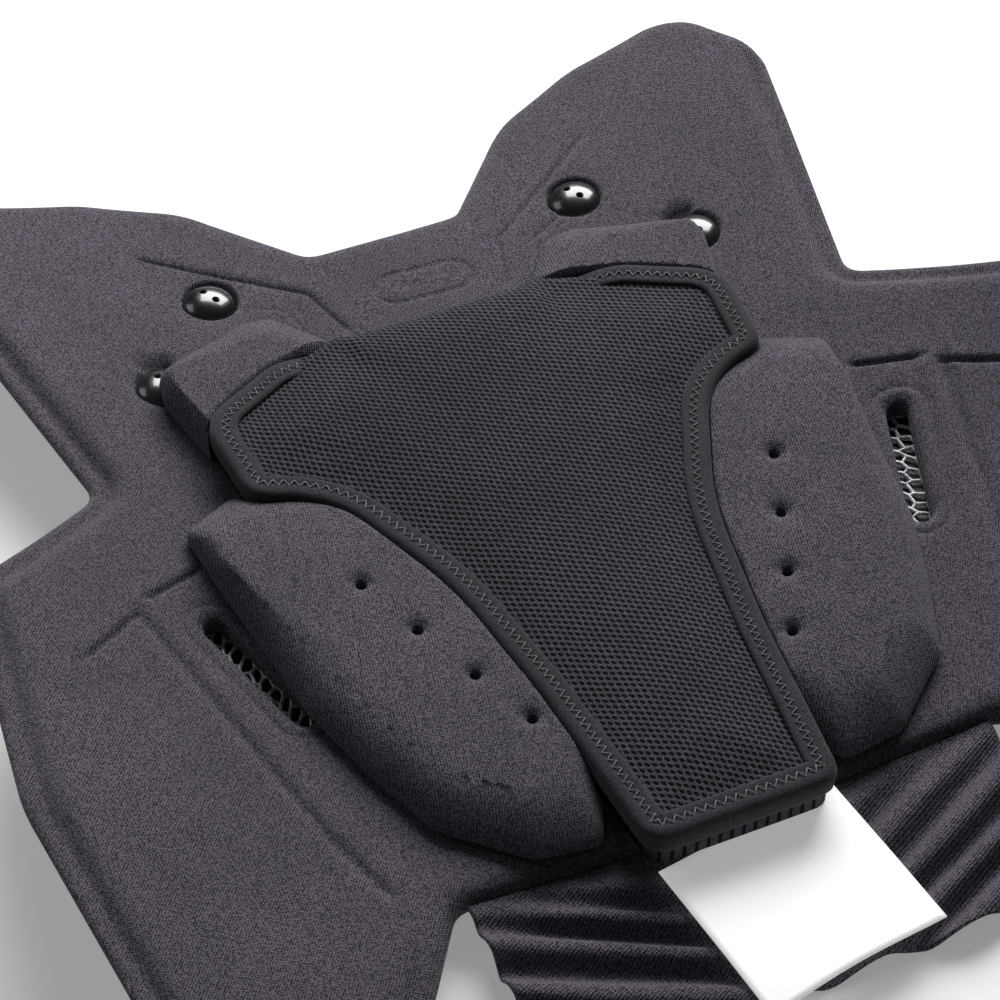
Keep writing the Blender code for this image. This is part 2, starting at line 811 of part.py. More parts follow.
def bolt_place(across, down):
    """Where a bolt stands on the liner, square to the curve of the chest there."""
    reach = BOLT_HEAD / 2
    rise = chest_height(across + reach, -down) - chest_height(across - reach, -down)
    lean = math.atan2(rise, 2 * reach)
    low = (chest_height(across + reach, -down) + chest_height(across - reach, -down)) / 2
    return Matrix.Translation((across, -down, low)) @ Matrix.Rotation(-lean, 4, "Y")


def make_bolts(shop, liner, shell, pads):
    plan_bolt = shop.add_cutter("bolt_blank", bolt_mesh())
    shop.cut(plan_bolt, shop.add_cutter("spanner_holes", spanner_holes_mesh()))
    drilled = evaluated_mesh(plan_bolt)
    for kind, place in BOLT_PLACES.items():
        for side, sign in (("left", -1), ("right", 1)):
            name = kind + "_" + side
            matrix = bolt_place(sign * place.across, place.along)
            bolt = shop.add(name, drilled.copy(), shop.gloss)
            bolt.matrix_local = matrix
            room = shop.add_cutter(name + "_room", bolt_room_mesh(BOLT_DOME + CLEARANCE))
            room.matrix_local = matrix
            shop.cut(liner, room)
            shop.cut(shell, room)
            if kind == "bolt_lower":
                for pad in pads:
                    if pad.name == "upper_pad_" + side:
                        shop.cut(pad, room)
    bpy.data.objects.remove(plan_bolt)


# Label and gusset


def make_label(shop):
    """Plain satin label sewn under the panel's lower end, falling towards its free edge."""
    top = -PANEL_TOP - PANEL_LENGTH + LABEL_TUCK
    bm = bmesh.new()
    bmesh.ops.create_grid(bm, x_segments=1, y_segments=LABEL_STEPS, size=1)
    for vert in bm.verts:
        share = (1 - vert.co.y) / 2
        x = vert.co.x * LABEL_WIDTH / 2
        vert.co = (x, top - share * LABEL_LENGTH, -LABEL_FALL * share)
    pivot = Matrix.Translation((0, top, 0))
    bm.transform(pivot @ Matrix.Rotation(LABEL_TURN, 4, "Z") @ pivot.inverted())
    sheet = shop.add_cutter("label_sheet", finish_mesh("label_sheet", bm))
    wall = sheet.modifiers.new("Wall", "SOLIDIFY")
    wall.thickness = LABEL_THICKNESS
    wall.offset = -1
    mesh = evaluated_mesh(sheet)
    bpy.data.objects.remove(sheet)
    shop.add("label", bent(mesh), shop.satin)


def make_gusset(shop):
    """Stretch jersey below the belly edge, gathered in folds that run outwards and up."""
    steps_along = int(GUSSET_LENGTH / FOLD_PITCH * STEPS_PER_FOLD)
    bm = bmesh.new()
    bmesh.ops.create_grid(bm, x_segments=GUSSET_STEPS_ACROSS, y_segments=steps_along, size=1)
    crest = LABEL_THICKNESS + GUSSET_THICKNESS + FOLD_DEPTH
    for vert in bm.verts:
        share = (1 - vert.co.y) / 2
        x = vert.co.x * GUSSET_HALF_WIDTH
        y = BELLY_EDGE - 2 * CLEARANCE - share * GUSSET_LENGTH
        across_fold = (y * math.cos(FOLD_SLANT) - abs(x) * math.sin(FOLD_SLANT)) / FOLD_PITCH
        swell = min(1, share / FLAT_SHARE) * FOLD_DEPTH * math.sin(2 * math.pi * across_fold)
        vert.co = (x, y, swell - crest - LABEL_FALL * share)
    sheet = shop.add_cutter("gusset_sheet", finish_mesh("gusset_sheet", bm))
    wall = sheet.modifiers.new("Wall", "SOLIDIFY")
    wall.thickness = GUSSET_THICKNESS
    wall.offset = 0
    mesh = evaluated_mesh(sheet)
    bpy.data.objects.remove(sheet)
    shop.add("lower_gusset", bent(mesh), shop.jersey)


def main():
    shop = Workshop()
    liner = make_liner(shop)
    shell = make_shell(shop)
    make_grille(shop)
    make_panel(shop)
    pads = make_pads(shop)
    make_bolts(shop, liner, shell, pads)
    make_label(shop)
    make_gusset(shop)
    shop.stand_on_floor()


main()
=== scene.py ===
"""Chest protector, lying on its moulded shell with the padded inner face up.

The soft pieces are drawn on a flat plan and lifted onto the curve of the chest. On the plan y is
0 on the line through the two upper bolts and grows towards the neck, x is 0 on the middle line,
and z is 0 on the inner face of the foam liner.
"""

import math
from collections import namedtuple

import bmesh
import bpy
import numpy as np
from bpy.props import FloatProperty, FloatVectorProperty, PointerProperty
from bpy.types import Operator, Panel, PropertyGroup
from mathutils import Matrix, Vector, noise
from mathutils.geometry import delaunay_2d_cdt


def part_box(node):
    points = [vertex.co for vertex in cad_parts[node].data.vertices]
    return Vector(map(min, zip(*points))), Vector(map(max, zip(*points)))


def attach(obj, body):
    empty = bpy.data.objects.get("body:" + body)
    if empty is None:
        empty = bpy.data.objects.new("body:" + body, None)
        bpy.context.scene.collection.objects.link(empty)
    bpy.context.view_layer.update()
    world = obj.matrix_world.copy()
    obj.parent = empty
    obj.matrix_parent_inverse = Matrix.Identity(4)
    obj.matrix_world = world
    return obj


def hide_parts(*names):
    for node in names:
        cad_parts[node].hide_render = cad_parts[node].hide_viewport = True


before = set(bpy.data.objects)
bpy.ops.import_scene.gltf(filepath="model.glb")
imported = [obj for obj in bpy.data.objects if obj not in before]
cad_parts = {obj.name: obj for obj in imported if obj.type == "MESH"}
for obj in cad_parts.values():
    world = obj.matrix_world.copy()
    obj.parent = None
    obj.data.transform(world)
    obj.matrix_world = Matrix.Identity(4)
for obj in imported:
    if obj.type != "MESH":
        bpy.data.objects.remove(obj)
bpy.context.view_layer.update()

bl_info = {
    "name": "Chest protector",
    "version": (1, 0, 0),
    "blender": (4, 5, 0),
    "location": "3D View > Sidebar > Protector",
    "description": "Dresses the chest protector's solids with cloth, foam, stitches and bolts",
    "category": "Object",
}

BODY = "root"

# Sizes of the solids that the dressed pieces follow, in metres
HALF_WIDTH = 0.196
PLATE_LENGTH = 0.3835
SHOULDER_REACH = 0.0735
WING_RISE = 0.0388
WING_CURVE = 2.6
BELLY_DROP = 0.007
CLEARANCE = 0.0003
LINER_THICKNESS = 0.008
RIM_WIDTH = 0.008
RIM_DROP = 0.004
SHELL_THICKNESS = 0.0034
SHELL_INSET = 0.010
SHELL_EDGE = 0.0011
REST_PANEL_HALF_WIDTH = 0.052
REST_PANEL_TOP = 0.004
REST_PANEL_LENGTH = 0.230
REST_PANEL_ROUND = 0.016
REST_STEP = 0.0012
SLOT_WIDTH = 0.0086
SLOT_LENGTH = 0.051
SLOT_ACROSS = 0.1125
SLOT_ALONG = 0.164
SLOT_LEAN = math.radians(18.5)
GRILLE_WIDTH = 0.0150
GRILLE_LENGTH = 0.0575
POCKET_DEPTH = 0.0020
PANEL_HALF_WIDTH = 0.0960
PANEL_TOP = 0.0405
PANEL_LENGTH = 0.2400
PANEL_HEIGHT = 0.0170
BINDING_LEVEL = 0.0157
BINDING_WIDTH = 0.0088
PAD_HEIGHT = 0.0145
PAD_GAP = 0.0006
LOWER_PAD_INNER = 0.0370
LOWER_PAD_TOP = 0.0960
LOWER_PAD_WIDTH = 0.0765
LOWER_PAD_LENGTH = 0.1715
UPPER_PAD_INNER = 0.0400
UPPER_PAD_TOP = 0.0200
UPPER_PAD_WIDTH = 0.0600
UPPER_PAD_LENGTH = 0.0700
BOLT_HEAD = 0.0190
BOLT_DOME = 0.0060
BOLT_SHANK = 0.0060
BOLT_WASHER = 0.0110
BOLT_WASHER_THICKNESS = 0.0018
BOLT_RECESS = 0.0008
WASHER_SETTLE = 0.0004
SPANNER_HOLE = 0.0019
SPANNER_DEPTH = 0.0022
SPANNER_SPACING = 0.0058
LABEL_WIDTH = 0.0620
LABEL_LENGTH = 0.0560
LABEL_TUCK = 0.0120
LABEL_FALL = 0.0015
LABEL_TURN = math.radians(9)
# Painted glow: the label emits light, though it is no lamp, so that it reads brighter white
LABEL_PAINTED_GLOW = 0.35
GUSSET_HALF_WIDTH = 0.0860
GUSSET_LENGTH = 0.0600
FOLD_PITCH = 0.0130
FOLD_DEPTH = 0.0026
FOLD_SLANT = math.radians(24)

# Soft forms pressed into the liner: depths and widths, in metres
RIB_START = (0.100, 0.118)
RIB_END = (0.015, 0.045)
EDGE_ROLL = 0.0010
EDGE_ROLL_WIDTH = 0.0016
RIM_GROOVE = 0.0007
RIM_GROOVE_WIDTH = 0.0012
CREASE_LIP = 0.18
CREASE_FADE = 0.0030
BADGE_GROOVE = 0.0008
BADGE_GROOVE_WIDTH = 0.0007
BADGE_HALF_LENGTH = 0.0105
BADGE_ROUND = 0.0072
BADGE_PLACE = (0.0035, -0.0150)
BADGE_TURN = math.radians(-3)
SLOT_DIP = 0.0013
SLOT_DIP_WIDTH = 0.0022
SLOT_LINE = 0.0006
SLOT_LINE_GAP = 0.0052
SLOT_LINE_WIDTH = 0.0007
SEAT_DIP = 0.0004
NOTCH_DEPTH = 0.0042
NOTCH_STRETCH = 2.6
LINER_BULGE = 0.0007

# How far the sewn pieces lie from the middle of the moulded plate
SEWN_SHIFT = np.array((-0.0024, 0.0010))
TAKE_UP = 0.0060

# Holes in the pads: radius, and how the cloth is drawn down round them
BORE_RADIUS = 0.0018
DISH_DEPTH = 0.0014
DISH_PLACE = 0.0016
DISH_WIDTH = 0.0019
HOLLOW_DEPTH = 0.0007
HOLLOW_WIDTH = 0.0060
BORE_STEP = 0.0012

# The bolts lie deeper in the foam than their solids, and a little nearer the neck
BOLT_SINK = 0.0032
BOLT_ADVANCE = 0.0024
SHANK_HOLE = 0.0042

# Half the length of the neck edge, where no binding is sewn, and the step from binding to mesh
NECK_HALF = 0.0365
SEAM_STEP = 0.0016

# Fineness of the meshes
CLOTH_STEP = 0.0030
PAD_STEP = 0.0022
EDGE_STEP = 0.0020
ARC_STEPS = 8
ROUND_SIDES = 48
ROUND_END = 13
CLOTH_FRAMES = 20
PAD_SWELL = 0.0006
PAD_PRESSURE = 1.5
PANEL_SWELL = 0.0008
PANEL_PRESSURE = 2.0
WELD = 0.000001

# Distances from an edge at which rings of points give its rounding a shape
RIM_GUIDES = (0.0008, 0.0018, 0.0032, 0.0048, 0.0062, 0.0078, 0.0094, 0.0114)
SLOT_GUIDES = (0.0008, 0.0018, 0.0032, 0.0043, 0.0050, 0.0057, 0.0066)
BOLT_GUIDES = (0.0086, 0.0092, 0.0098, 0.0104, 0.0114, 0.0128)
HOLE_GUIDES = (0.0022, 0.0027, 0.0034, 0.0043, 0.0055, 0.0070)
PANEL_GUIDES = (0.0036, 0.0054, 0.0072, 0.0084, 0.0098, 0.0120)

# Camera as fitted to the photo
CAMERA_PLACE = (-0.27485, -0.58936, 0.68926)
CAMERA_TURN = (math.radians(44), 0, math.radians(-23.68))

# Foam wall between the faces of a sheet: share of its depth, and share of its bulge
WALL_SECTION = ((0.25, 0.8), (0.55, 1.0), (0.85, 0.6))

# Bore of a pad's hole: depth in metres, and share of its radius
BORE_SECTION = ((0.0016, 0.96), (0.0045, 1.0), (0.0085, 0.94))

Corner = namedtuple("Corner", "across along radius")
PadCorner = namedtuple("PadCorner", "base_across base_along top_across top_along radius")
Place = namedtuple("Place", "across along")

# Right half of the plate from the neck to the belly, in shares of its half width and length
PLATE_CORNERS = (
    Corner(0.143, 0.153, 0.041),
    Corner(0.316, 0.052, 0.180),
    Corner(0.485, 0.014, 0.200),
    Corner(0.719, 0.000, 0.112),
    Corner(0.811, 0.100, 0.153),
    Corner(0.690, 0.394, 0.046),
    Corner(0.952, 0.490, 0.092),
    Corner(1.000, 0.726, 0.306),
    Corner(0.939, 0.984, 0.102),
    Corner(0.622, 1.000, 0.082),
    Corner(0.459, 0.874, 0.051),
)

# Right half of the mesh panel from the neck edge down, in shares of its half width and length
PANEL_CORNERS = (
    Corner(0.375, 0.000, 0.050),
    Corner(0.690, 0.050, 0.300),
    Corner(0.980, 0.122, 0.190),
    Corner(0.945, 0.278, 0.085),
    Corner(0.700, 0.298, 0.340),
    Corner(0.470, 0.505, 1.300),
    Corner(0.390, 0.715, 2.400),
    Corner(0.325, 1.000, 0.075),
)

# Outlines of a pad's base and of its flat top, in shares of its width and length
LOWER_PAD_CORNERS = (
    PadCorner(0.30, 0.010, 0.30, 0.120, 0.03),
    PadCorner(0.76, 0.000, 0.73, 0.112, 0.10),
    PadCorner(1.00, 0.065, 0.90, 0.160, 0.06),
    PadCorner(0.965, 0.200, 0.925, 0.212, 0.06),
    PadCorner(0.860, 0.540, 0.710, 0.545, 0.20),
    PadCorner(0.745, 0.710, 0.600, 0.695, 0.20),
    PadCorner(0.615, 0.865, 0.520, 0.790, 0.08),
    PadCorner(0.31, 0.985, 0.25, 0.890, 0.08),
    PadCorner(0.03, 1.000, 0.09, 0.860, 0.06),
    PadCorner(-0.10, 0.850, -0.04, 0.800, 0.06),
    PadCorner(-0.02, 0.500, 0.00, 0.500, 0.06),
)
UPPER_PAD_CORNERS = (
    PadCorner(-0.05, 0.230, 0.08, 0.420, 0.06),
    PadCorner(0.20, -0.030, 0.27, 0.255, 0.07),
    PadCorner(0.36, -0.035, 0.40, 0.240, 0.07),
    PadCorner(0.82, 0.150, 0.79, 0.300, 0.10),
    PadCorner(0.97, 0.255, 0.915, 0.325, 0.06),
    PadCorner(0.99, 0.400, 0.93, 0.420, 0.06),
    PadCorner(0.86, 0.900, 0.80, 0.850, 0.06),
    PadCorner(0.10, 0.900, 0.12, 0.850, 0.06),
)

# Section of a pad from its seam up: blend from base to top outline, and share of its height
PAD_SECTION = (
    (0.14, 0.00),
    (0.06, 0.05),
    (0.01, 0.13),
    (0.02, 0.24),
    (0.09, 0.37),
    (0.22, 0.515),
    (0.38, 0.66),
    (0.56, 0.79),
    (0.73, 0.885),
    (0.88, 0.945),
    (1.00, 0.980),
)

# Pressed creases on the liner, in shares of its half width and length. On the left one is fainter.
Crease = namedtuple("Crease", "route depth width left")
CREASES = (
    Crease((Place(0.437, 0.111), Place(0.184, 0.206), Place(0.150, 0.266)), 0.0013, 0.0007, 1.0),
    Crease((Place(0.310, 0.201), Place(0.242, 0.220), Place(0.210, 0.270)), 0.0010, 0.0007, 0.3),
    Crease((Place(0.826, 0.585), Place(0.714, 0.541)), 0.0021, 0.0009, 1.0),
    Crease((Place(0.714, 0.541), Place(0.592, 0.794), Place(0.545, 0.86)), 0.0015, 0.0017, 1.0),
    Crease((Place(0.693, 0.527), Place(0.587, 0.501)), 0.0019, 0.0009, 1.0),
)

# Bolts on the right: from the middle line, and from the upper bolts' line down, in metres
BOLT_PLACES = {
    "bolt_upper": Place(0.0690, 0.0000),
    "bolt_lower": Place(0.0980, 0.0370),
}
HOLE_COUNT = 4
FIRST_HOLE = Place(0.450, 0.328)
LAST_HOLE = Place(0.085, 0.729)
BELLY_EDGE = SHOULDER_REACH - PLATE_LENGTH * PLATE_CORNERS[-1].along
PLATE_BOTTOM = SHOULDER_REACH - PLATE_LENGTH


# Places on the plan


def chest_height(points):
    """Height of the liner's inner face over places on the plan."""
    rise = WING_RISE * (np.abs(points[:, 0]) / HALF_WIDTH) ** WING_CURVE
    return rise + BELLY_DROP * np.minimum(points[:, 1], 0) / -PLATE_BOTTOM


def plan_origin():
    """Where the plan's origin lies in the frame."""
    liner_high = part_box("chest_liner")[1]
    belly = chest_height(np.array([(0, BELLY_EDGE)]))[0]
    rest = belly - LINER_THICKNESS - CLEARANCE - SHELL_THICKNESS - REST_STEP
    return np.array((0, liner_high.y - SHOULDER_REACH, -rest))


ORIGIN = plan_origin()


def lifted(points):
    """Plan points (x, y, level) placed on the curve of the chest, in the frame."""
    points = np.array(points, float)
    points[:, 2] += chest_height(points)
    return points + ORIGIN


def smooth(value, low, high):
    """0 below low, 1 above high, with a soft run between."""
    share = np.clip((value - low) / (high - low), 0, 1)
    return share * share * (3 - 2 * share)


def turned_left(before, corner, after):
    first = Vector(corner) - Vector(before)
    second = Vector(after) - Vector(corner)
    return first.x * second.y - first.y * second.x > 0


def moved_corners(corners, inset):
    """Corners of an outline that runs clockwise, moved inwards, with their radii to match."""
    moved = []
    for index, (x, y, radius) in enumerate(corners):
        before = corners[index - 1][:2]
        after = corners[(index + 1) % len(corners)][:2]
        first = (Vector((x, y)) - Vector(before)).normalized()
        second = (Vector(after) - Vector((x, y))).normalized()
        inward = Vector((first.y, -first.x)) + Vector((second.y, -second.x))
        reach = inset * 2 / inward.length_squared
        concave = turned_left(before, (x, y), after)
        new_radius = radius + inset if concave else max(radius - inset, CLEARANCE)
        moved.append((x + inward.x * reach, y + inward.y * reach, new_radius))
    return moved


def rounded(corners):
    """Points of a closed outline whose corners are arcs."""
    points = []
    for index, (x, y, radius) in enumerate(corners):
        corner = Vector((x, y))
        back = (Vector(corners[index - 1][:2]) - corner).normalized()
        ahead = (Vector(corners[(index + 1) % len(corners)][:2]) - corner).normalized()
        half_angle = back.angle(ahead) / 2
        centre = corner + (back + ahead).normalized() * radius / math.sin(half_angle)
        reach = radius / math.tan(half_angle)
        start = corner + back * reach - centre
        sweep = start.angle_signed(corner + ahead * reach - centre)
        for step in range(ARC_STEPS + 1):
            points.append(centre + Matrix.Rotation(-sweep * step / ARC_STEPS, 2) @ start)
    return np.array(points)


def mirrored(half):
    return list(half) + [(-x, y, radius) for x, y, radius in reversed(half)]


def half_corners(rows, half_width, top, length):
    return [(r.across * half_width, top - r.along * length, r.radius * half_width) for r in rows]


def plate_outline(inset, step=EDGE_STEP):
    corners = mirrored(half_corners(PLATE_CORNERS, HALF_WIDTH, SHOULDER_REACH, PLATE_LENGTH))
    return resampled(rounded(moved_corners(corners, inset)), step)


def panel_outline(inset, step=EDGE_STEP):
    corners = mirrored(half_corners(PANEL_CORNERS, PANEL_HALF_WIDTH, -PANEL_TOP, PANEL_LENGTH))
    return resampled(rounded(moved_corners(corners, inset)), step)


def resampled(points, step, closed=True):
    """Points at even steps along a line, which keeps its ends where it isn't closed."""
    points = np.asarray(points, float)
    line = np.vstack((points, points[:1])) if closed else points
    at = np.r_[0, np.cumsum(np.linalg.norm(np.diff(line, axis=0), axis=1))]
    count = max(int(round(at[-1] / step)), 3)
    wanted = np.linspace(0, at[-1], count + 1)
    if closed:
        wanted = wanted[:-1]
    return np.column_stack([np.interp(wanted, at, line[:, k]) for k in range(line.shape[1])])


def distance_to(points, line, closed=True):
    """Shortest distance on the plan from each point to a line."""
    ends = np.roll(line, -1, axis=0) if closed else line[1:]
    starts = line if closed else line[:-1]
    nearest = np.full(len(points), np.inf)
    for start, end in zip(starts, ends):
        step = end - start
        share = np.clip(((points - start) @ step) / max(step @ step, WELD * WELD), 0, 1)
        gap = points - start - share[:, None] * step
        nearest = np.minimum(nearest, np.hypot(gap[:, 0], gap[:, 1]))
    return nearest


def inside(points, line):
    """Which points lie inside a closed line."""
    found = np.zeros(len(points), bool)
    for start, end in zip(line, np.roll(line, -1, axis=0)):
        if start[1] == end[1]:
            continue
        crosses = (start[1] > points[:, 1]) != (end[1] > points[:, 1])
        x = start[0] + (points[:, 1] - start[1]) * (end[0] - start[0]) / (end[1] - start[1])
        found ^= crosses & (points[:, 0] < x)
    return found


def packed_points(line, step, keep_off, gap):
    """A staggered grid inside a closed line that keeps a gap to the lines in keep_off."""
    low, high = line.min(axis=0), line.max(axis=0)
    rows = np.arange(low[1], high[1], step * math.sqrt(3) / 2)
    points = []
    for number, y in enumerate(rows):
        across = np.arange(low[0] + step * (number % 2) / 2, high[0], step)
        points.append(np.column_stack((across, np.full(len(across), y))))
    points = np.vstack(points)
    points = points[inside(points, line)]
    clear = distance_to(points, line) > gap
    for other, closed in keep_off:
        clear &= distance_to(points, other, closed) > gap
    return points[clear]


def filled(line, holes, points):
    """Plan triangulation of the area inside a line and outside the holes, through more points."""
    rings = [line, *holes]
    edges = []
    start = 0
    for ring in rings:
        count = len(ring)
        edges += [(start + k, start + (k + 1) % count) for k in range(count)]
        start += count
    everything = np.vstack((*rings, points))
    vectors = [Vector(p) for p in everything]
    spots, _, faces, *_ = delaunay_2d_cdt(vectors, edges, [], 0, WELD)
    spots = np.array([tuple(p) for p in spots])
    middles = np.array([spots[list(face)].mean(axis=0) for face in faces])
    kept = inside(middles, line)
    for hole in holes:
        kept &= ~inside(middles, hole)
    return spots, [face for face, keep in zip(faces, kept) if keep]


def warped(points):
    """Plan points of a sewn piece, moved to where it was sewn on."""
    points = np.array(points, float)
    points[:, 1] += TAKE_UP * smooth(-points[:, 1], 0.18, 0.28)
    points[:, :2] += SEWN_SHIFT
    return points


def rough(points, scale, seed):
    """Soft noise from -1 to 1 over plan points, the same on each run."""
    offset = Vector((seed * 7.31, seed * 3.17, seed))
    return np.array([noise.noise(Vector((x, y, 0)) / scale + offset) for x, y in points[:, :2]])


# Meshes and objects


def mesh_object(name, bm):
    mesh = bpy.data.meshes.new(name)
    bm.to_mesh(mesh)
    bm.free()
    mesh.shade_smooth()
    obj = bpy.data.objects.new(name, mesh)
    bpy.context.scene.collection.objects.link(obj)
    return obj


def outward(bm):
    bmesh.ops.remove_doubles(bm, verts=bm.verts, dist=WELD)
    bmesh.ops.recalc_face_normals(bm, faces=bm.faces)


def face_up(bm):
    bmesh.ops.recalc_face_normals(bm, faces=bm.faces)
    if sum(face.normal.z for face in bm.faces) < 0:
        bmesh.ops.reverse_faces(bm, faces=bm.faces)


def add_faces(bm, points, faces):
    verts = [bm.verts.new(point) for point in points]
    for face in faces:
        bm.faces.new([verts[k] for k in face])
    return verts


def boundary_loops(bm):
    """The chains of vertices round the open edges of a mesh."""
    ahead = {}
    for edge in bm.edges:
        if len(edge.link_faces) == 1:
            loop = edge.link_loops[0]
            ahead[loop.vert] = loop.link_loop_next.vert
    loops = []
    while ahead:
        start = next(iter(ahead))
        chain = [start]
        nearby = ahead.pop(start)
        while nearby is not start:
            chain.append(nearby)
            nearby = ahead.pop(nearby)
        loops.append(chain)
    return loops


def wall_ring(bm, loop, points):
    """Joins a chain of vertices to a new ring of points, and gives the new chain."""
    ring = [bm.verts.new(point) for point in points]
    count = len(loop)
    for k in range(count):
        after = (k + 1) % count
        bm.faces.new((loop[after], loop[k], ring[k], ring[after]))
    return ring


def coords(obj):
    found = np.empty(len(obj.data.vertices) * 3)
    obj.data.vertices.foreach_get("co", found)
    return found.reshape(-1, 3)


def set_coords(obj, points):
    obj.data.vertices.foreach_set("co", np.asarray(points, np.float32).ravel())
    obj.data.update()


def evaluated_copy(obj):
    """Plain mesh of an object with its modifiers, which are then gone."""
    graph = bpy.context.evaluated_depsgraph_get()
    graph.update()
    mesh = bpy.data.meshes.new_from_object(obj.evaluated_get(graph))
    obj.modifiers.clear()
    obj.data = mesh
    return obj


def subtract(obj, cutter):
    boolean = obj.modifiers.new("Cut", "BOOLEAN")
    boolean.operation = "DIFFERENCE"
    boolean.solver = "EXACT"
    boolean.object = cutter
    evaluated_copy(obj)
    bpy.data.objects.remove(cutter)


def finished(obj, material, slot, *nodes):
    """Gives a piece its material, lets it ride on the body and stand for its solids."""
    obj.data.materials.clear()
    obj.data.materials.append(material)
    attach(obj, BODY)
    if nodes:
        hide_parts(*nodes)
    return obj


# Shader node groups


def new_group(name, inputs, outputs):
    """An empty shader group with float or colour inputs and outputs, each with its default."""
    group = bpy.data.node_groups.new(name, "ShaderNodeTree")
    for socket, kind, default in inputs:
        made = group.interface.new_socket(socket, in_out="INPUT", socket_type=kind)
        made.default_value = default
    for socket, kind in outputs:
        group.interface.new_socket(socket, in_out="OUTPUT", socket_type=kind)
    return group


class Wiring:
    """Short ways to add and join nodes in one tree."""

    def __init__(self, tree):
        self.tree = tree
        self.column = 0

    def node(self, kind, **settings):
        made = self.tree.nodes.new(kind)
        self.column += 1
        made.location = (self.column * 180, -(self.column % 4) * 160)
        for name, value in settings.items():
            setattr(made, name, value)
        return made

    def put(self, socket, value):
        if isinstance(value, bpy.types.NodeSocket):
            self.tree.links.new(value, socket)
        else:
            socket.default_value = value

    def math(self, operation, *values):
        made = self.node("ShaderNodeMath", operation=operation)
        for socket, value in zip(made.inputs, values):
            self.put(socket, value)
        return made.outputs[0]

    def split(self, vector):
        made = self.node("ShaderNodeSeparateXYZ")
        self.put(made.inputs[0], vector)
        return made.outputs

    def noise(self, vector, scale, detail=2.0, roughness=0.5):
        made = self.node("ShaderNodeTexNoise")
        self.put(made.inputs["Vector"], vector)
        self.put(made.inputs["Scale"], scale)
        made.inputs["Detail"].default_value = detail
        made.inputs["Roughness"].default_value = roughness
        return made.outputs["Fac"]

    def run(self, value, low, high, start=0.0, end=1.0):
        """Maps low..high to start..end, held at both ends."""
        made = self.node("ShaderNodeMapRange", interpolation_type="SMOOTHSTEP")
        for socket, given in zip(made.inputs, (value, low, high, start, end)):
            self.put(socket, given)
        return made.outputs["Result"]

    def mix(self, share, first, second, blend="MIX"):
        made = self.node("ShaderNodeMix", data_type="RGBA", blend_type=blend)
        self.put(made.inputs[0], share)
        self.put(made.inputs[6], first)
        self.put(made.inputs[7], second)
        return made.outputs[2]


FLOAT = "NodeSocketFloat"
COLOUR = "NodeSocketColor"
VECTOR = "NodeSocketVector"


def knit_group():
    """Ribbed jersey: diagonal ribs broken into stitches, with a speckled yarn."""
    group = new_group(
        "Jersey knit",
        (
            ("Vector", VECTOR, (0, 0, 0)),
            ("Rib Pitch", FLOAT, 0.00075),
            ("Yarn", COLOUR, (0.07, 0.065, 0.075, 1)),
            # Paler colour: painted highlight on the rib crests, and the yarn's own melange
            ("Speckle", COLOUR, (0.16, 0.15, 0.17, 1)),
            ("Contrast", FLOAT, 0.5),
        ),
        (("Color", COLOUR), ("Height", FLOAT)),
    )
    w = Wiring(group)
    given = w.node("NodeGroupInput").outputs
    x, y, z = w.split(given["Vector"])
    turns = w.math("DIVIDE", 2 * math.pi, given["Rib Pitch"])
    wander = w.math("MULTIPLY", w.noise(given["Vector"], 90.0), 2.4)
    rib = w.math("SINE", w.math("ADD", w.math("MULTIPLY", x, turns), wander))
    depth = w.math("ADD", w.math("MULTIPLY", y, 0.8), w.math("MULTIPLY", z, 0.6))
    row = w.math("SINE", w.math("MULTIPLY", depth, w.math("MULTIPLY", turns, 1.15)))
    stitch = w.math("MULTIPLY", w.math("ADD", row, 1.0), 0.5)
    height = w.math("MULTIPLY_ADD", rib, 0.5, 0.5)
    height = w.math("MULTIPLY", height, w.math("MULTIPLY_ADD", stitch, 0.45, 0.55))
    grain = w.noise(given["Vector"], 1600.0, 1.0, 0.6)
    melange = w.run(grain, 0.42, 0.58)
    # Share of the paler colour: rib height as painted highlight on the crests, plus the yarn's random
    # melange
    yarn = w.math("MULTIPLY_ADD", height, 0.45, w.math("MULTIPLY", melange, 0.55))
    share = w.math("MULTIPLY", yarn, given["Contrast"])
    out = w.node("NodeGroupOutput")
    w.put(out.inputs["Color"], w.mix(share, given["Yarn"], given["Speckle"]))
    w.put(out.inputs["Height"], w.math("MULTIPLY_ADD", grain, 0.35, height))
    return group


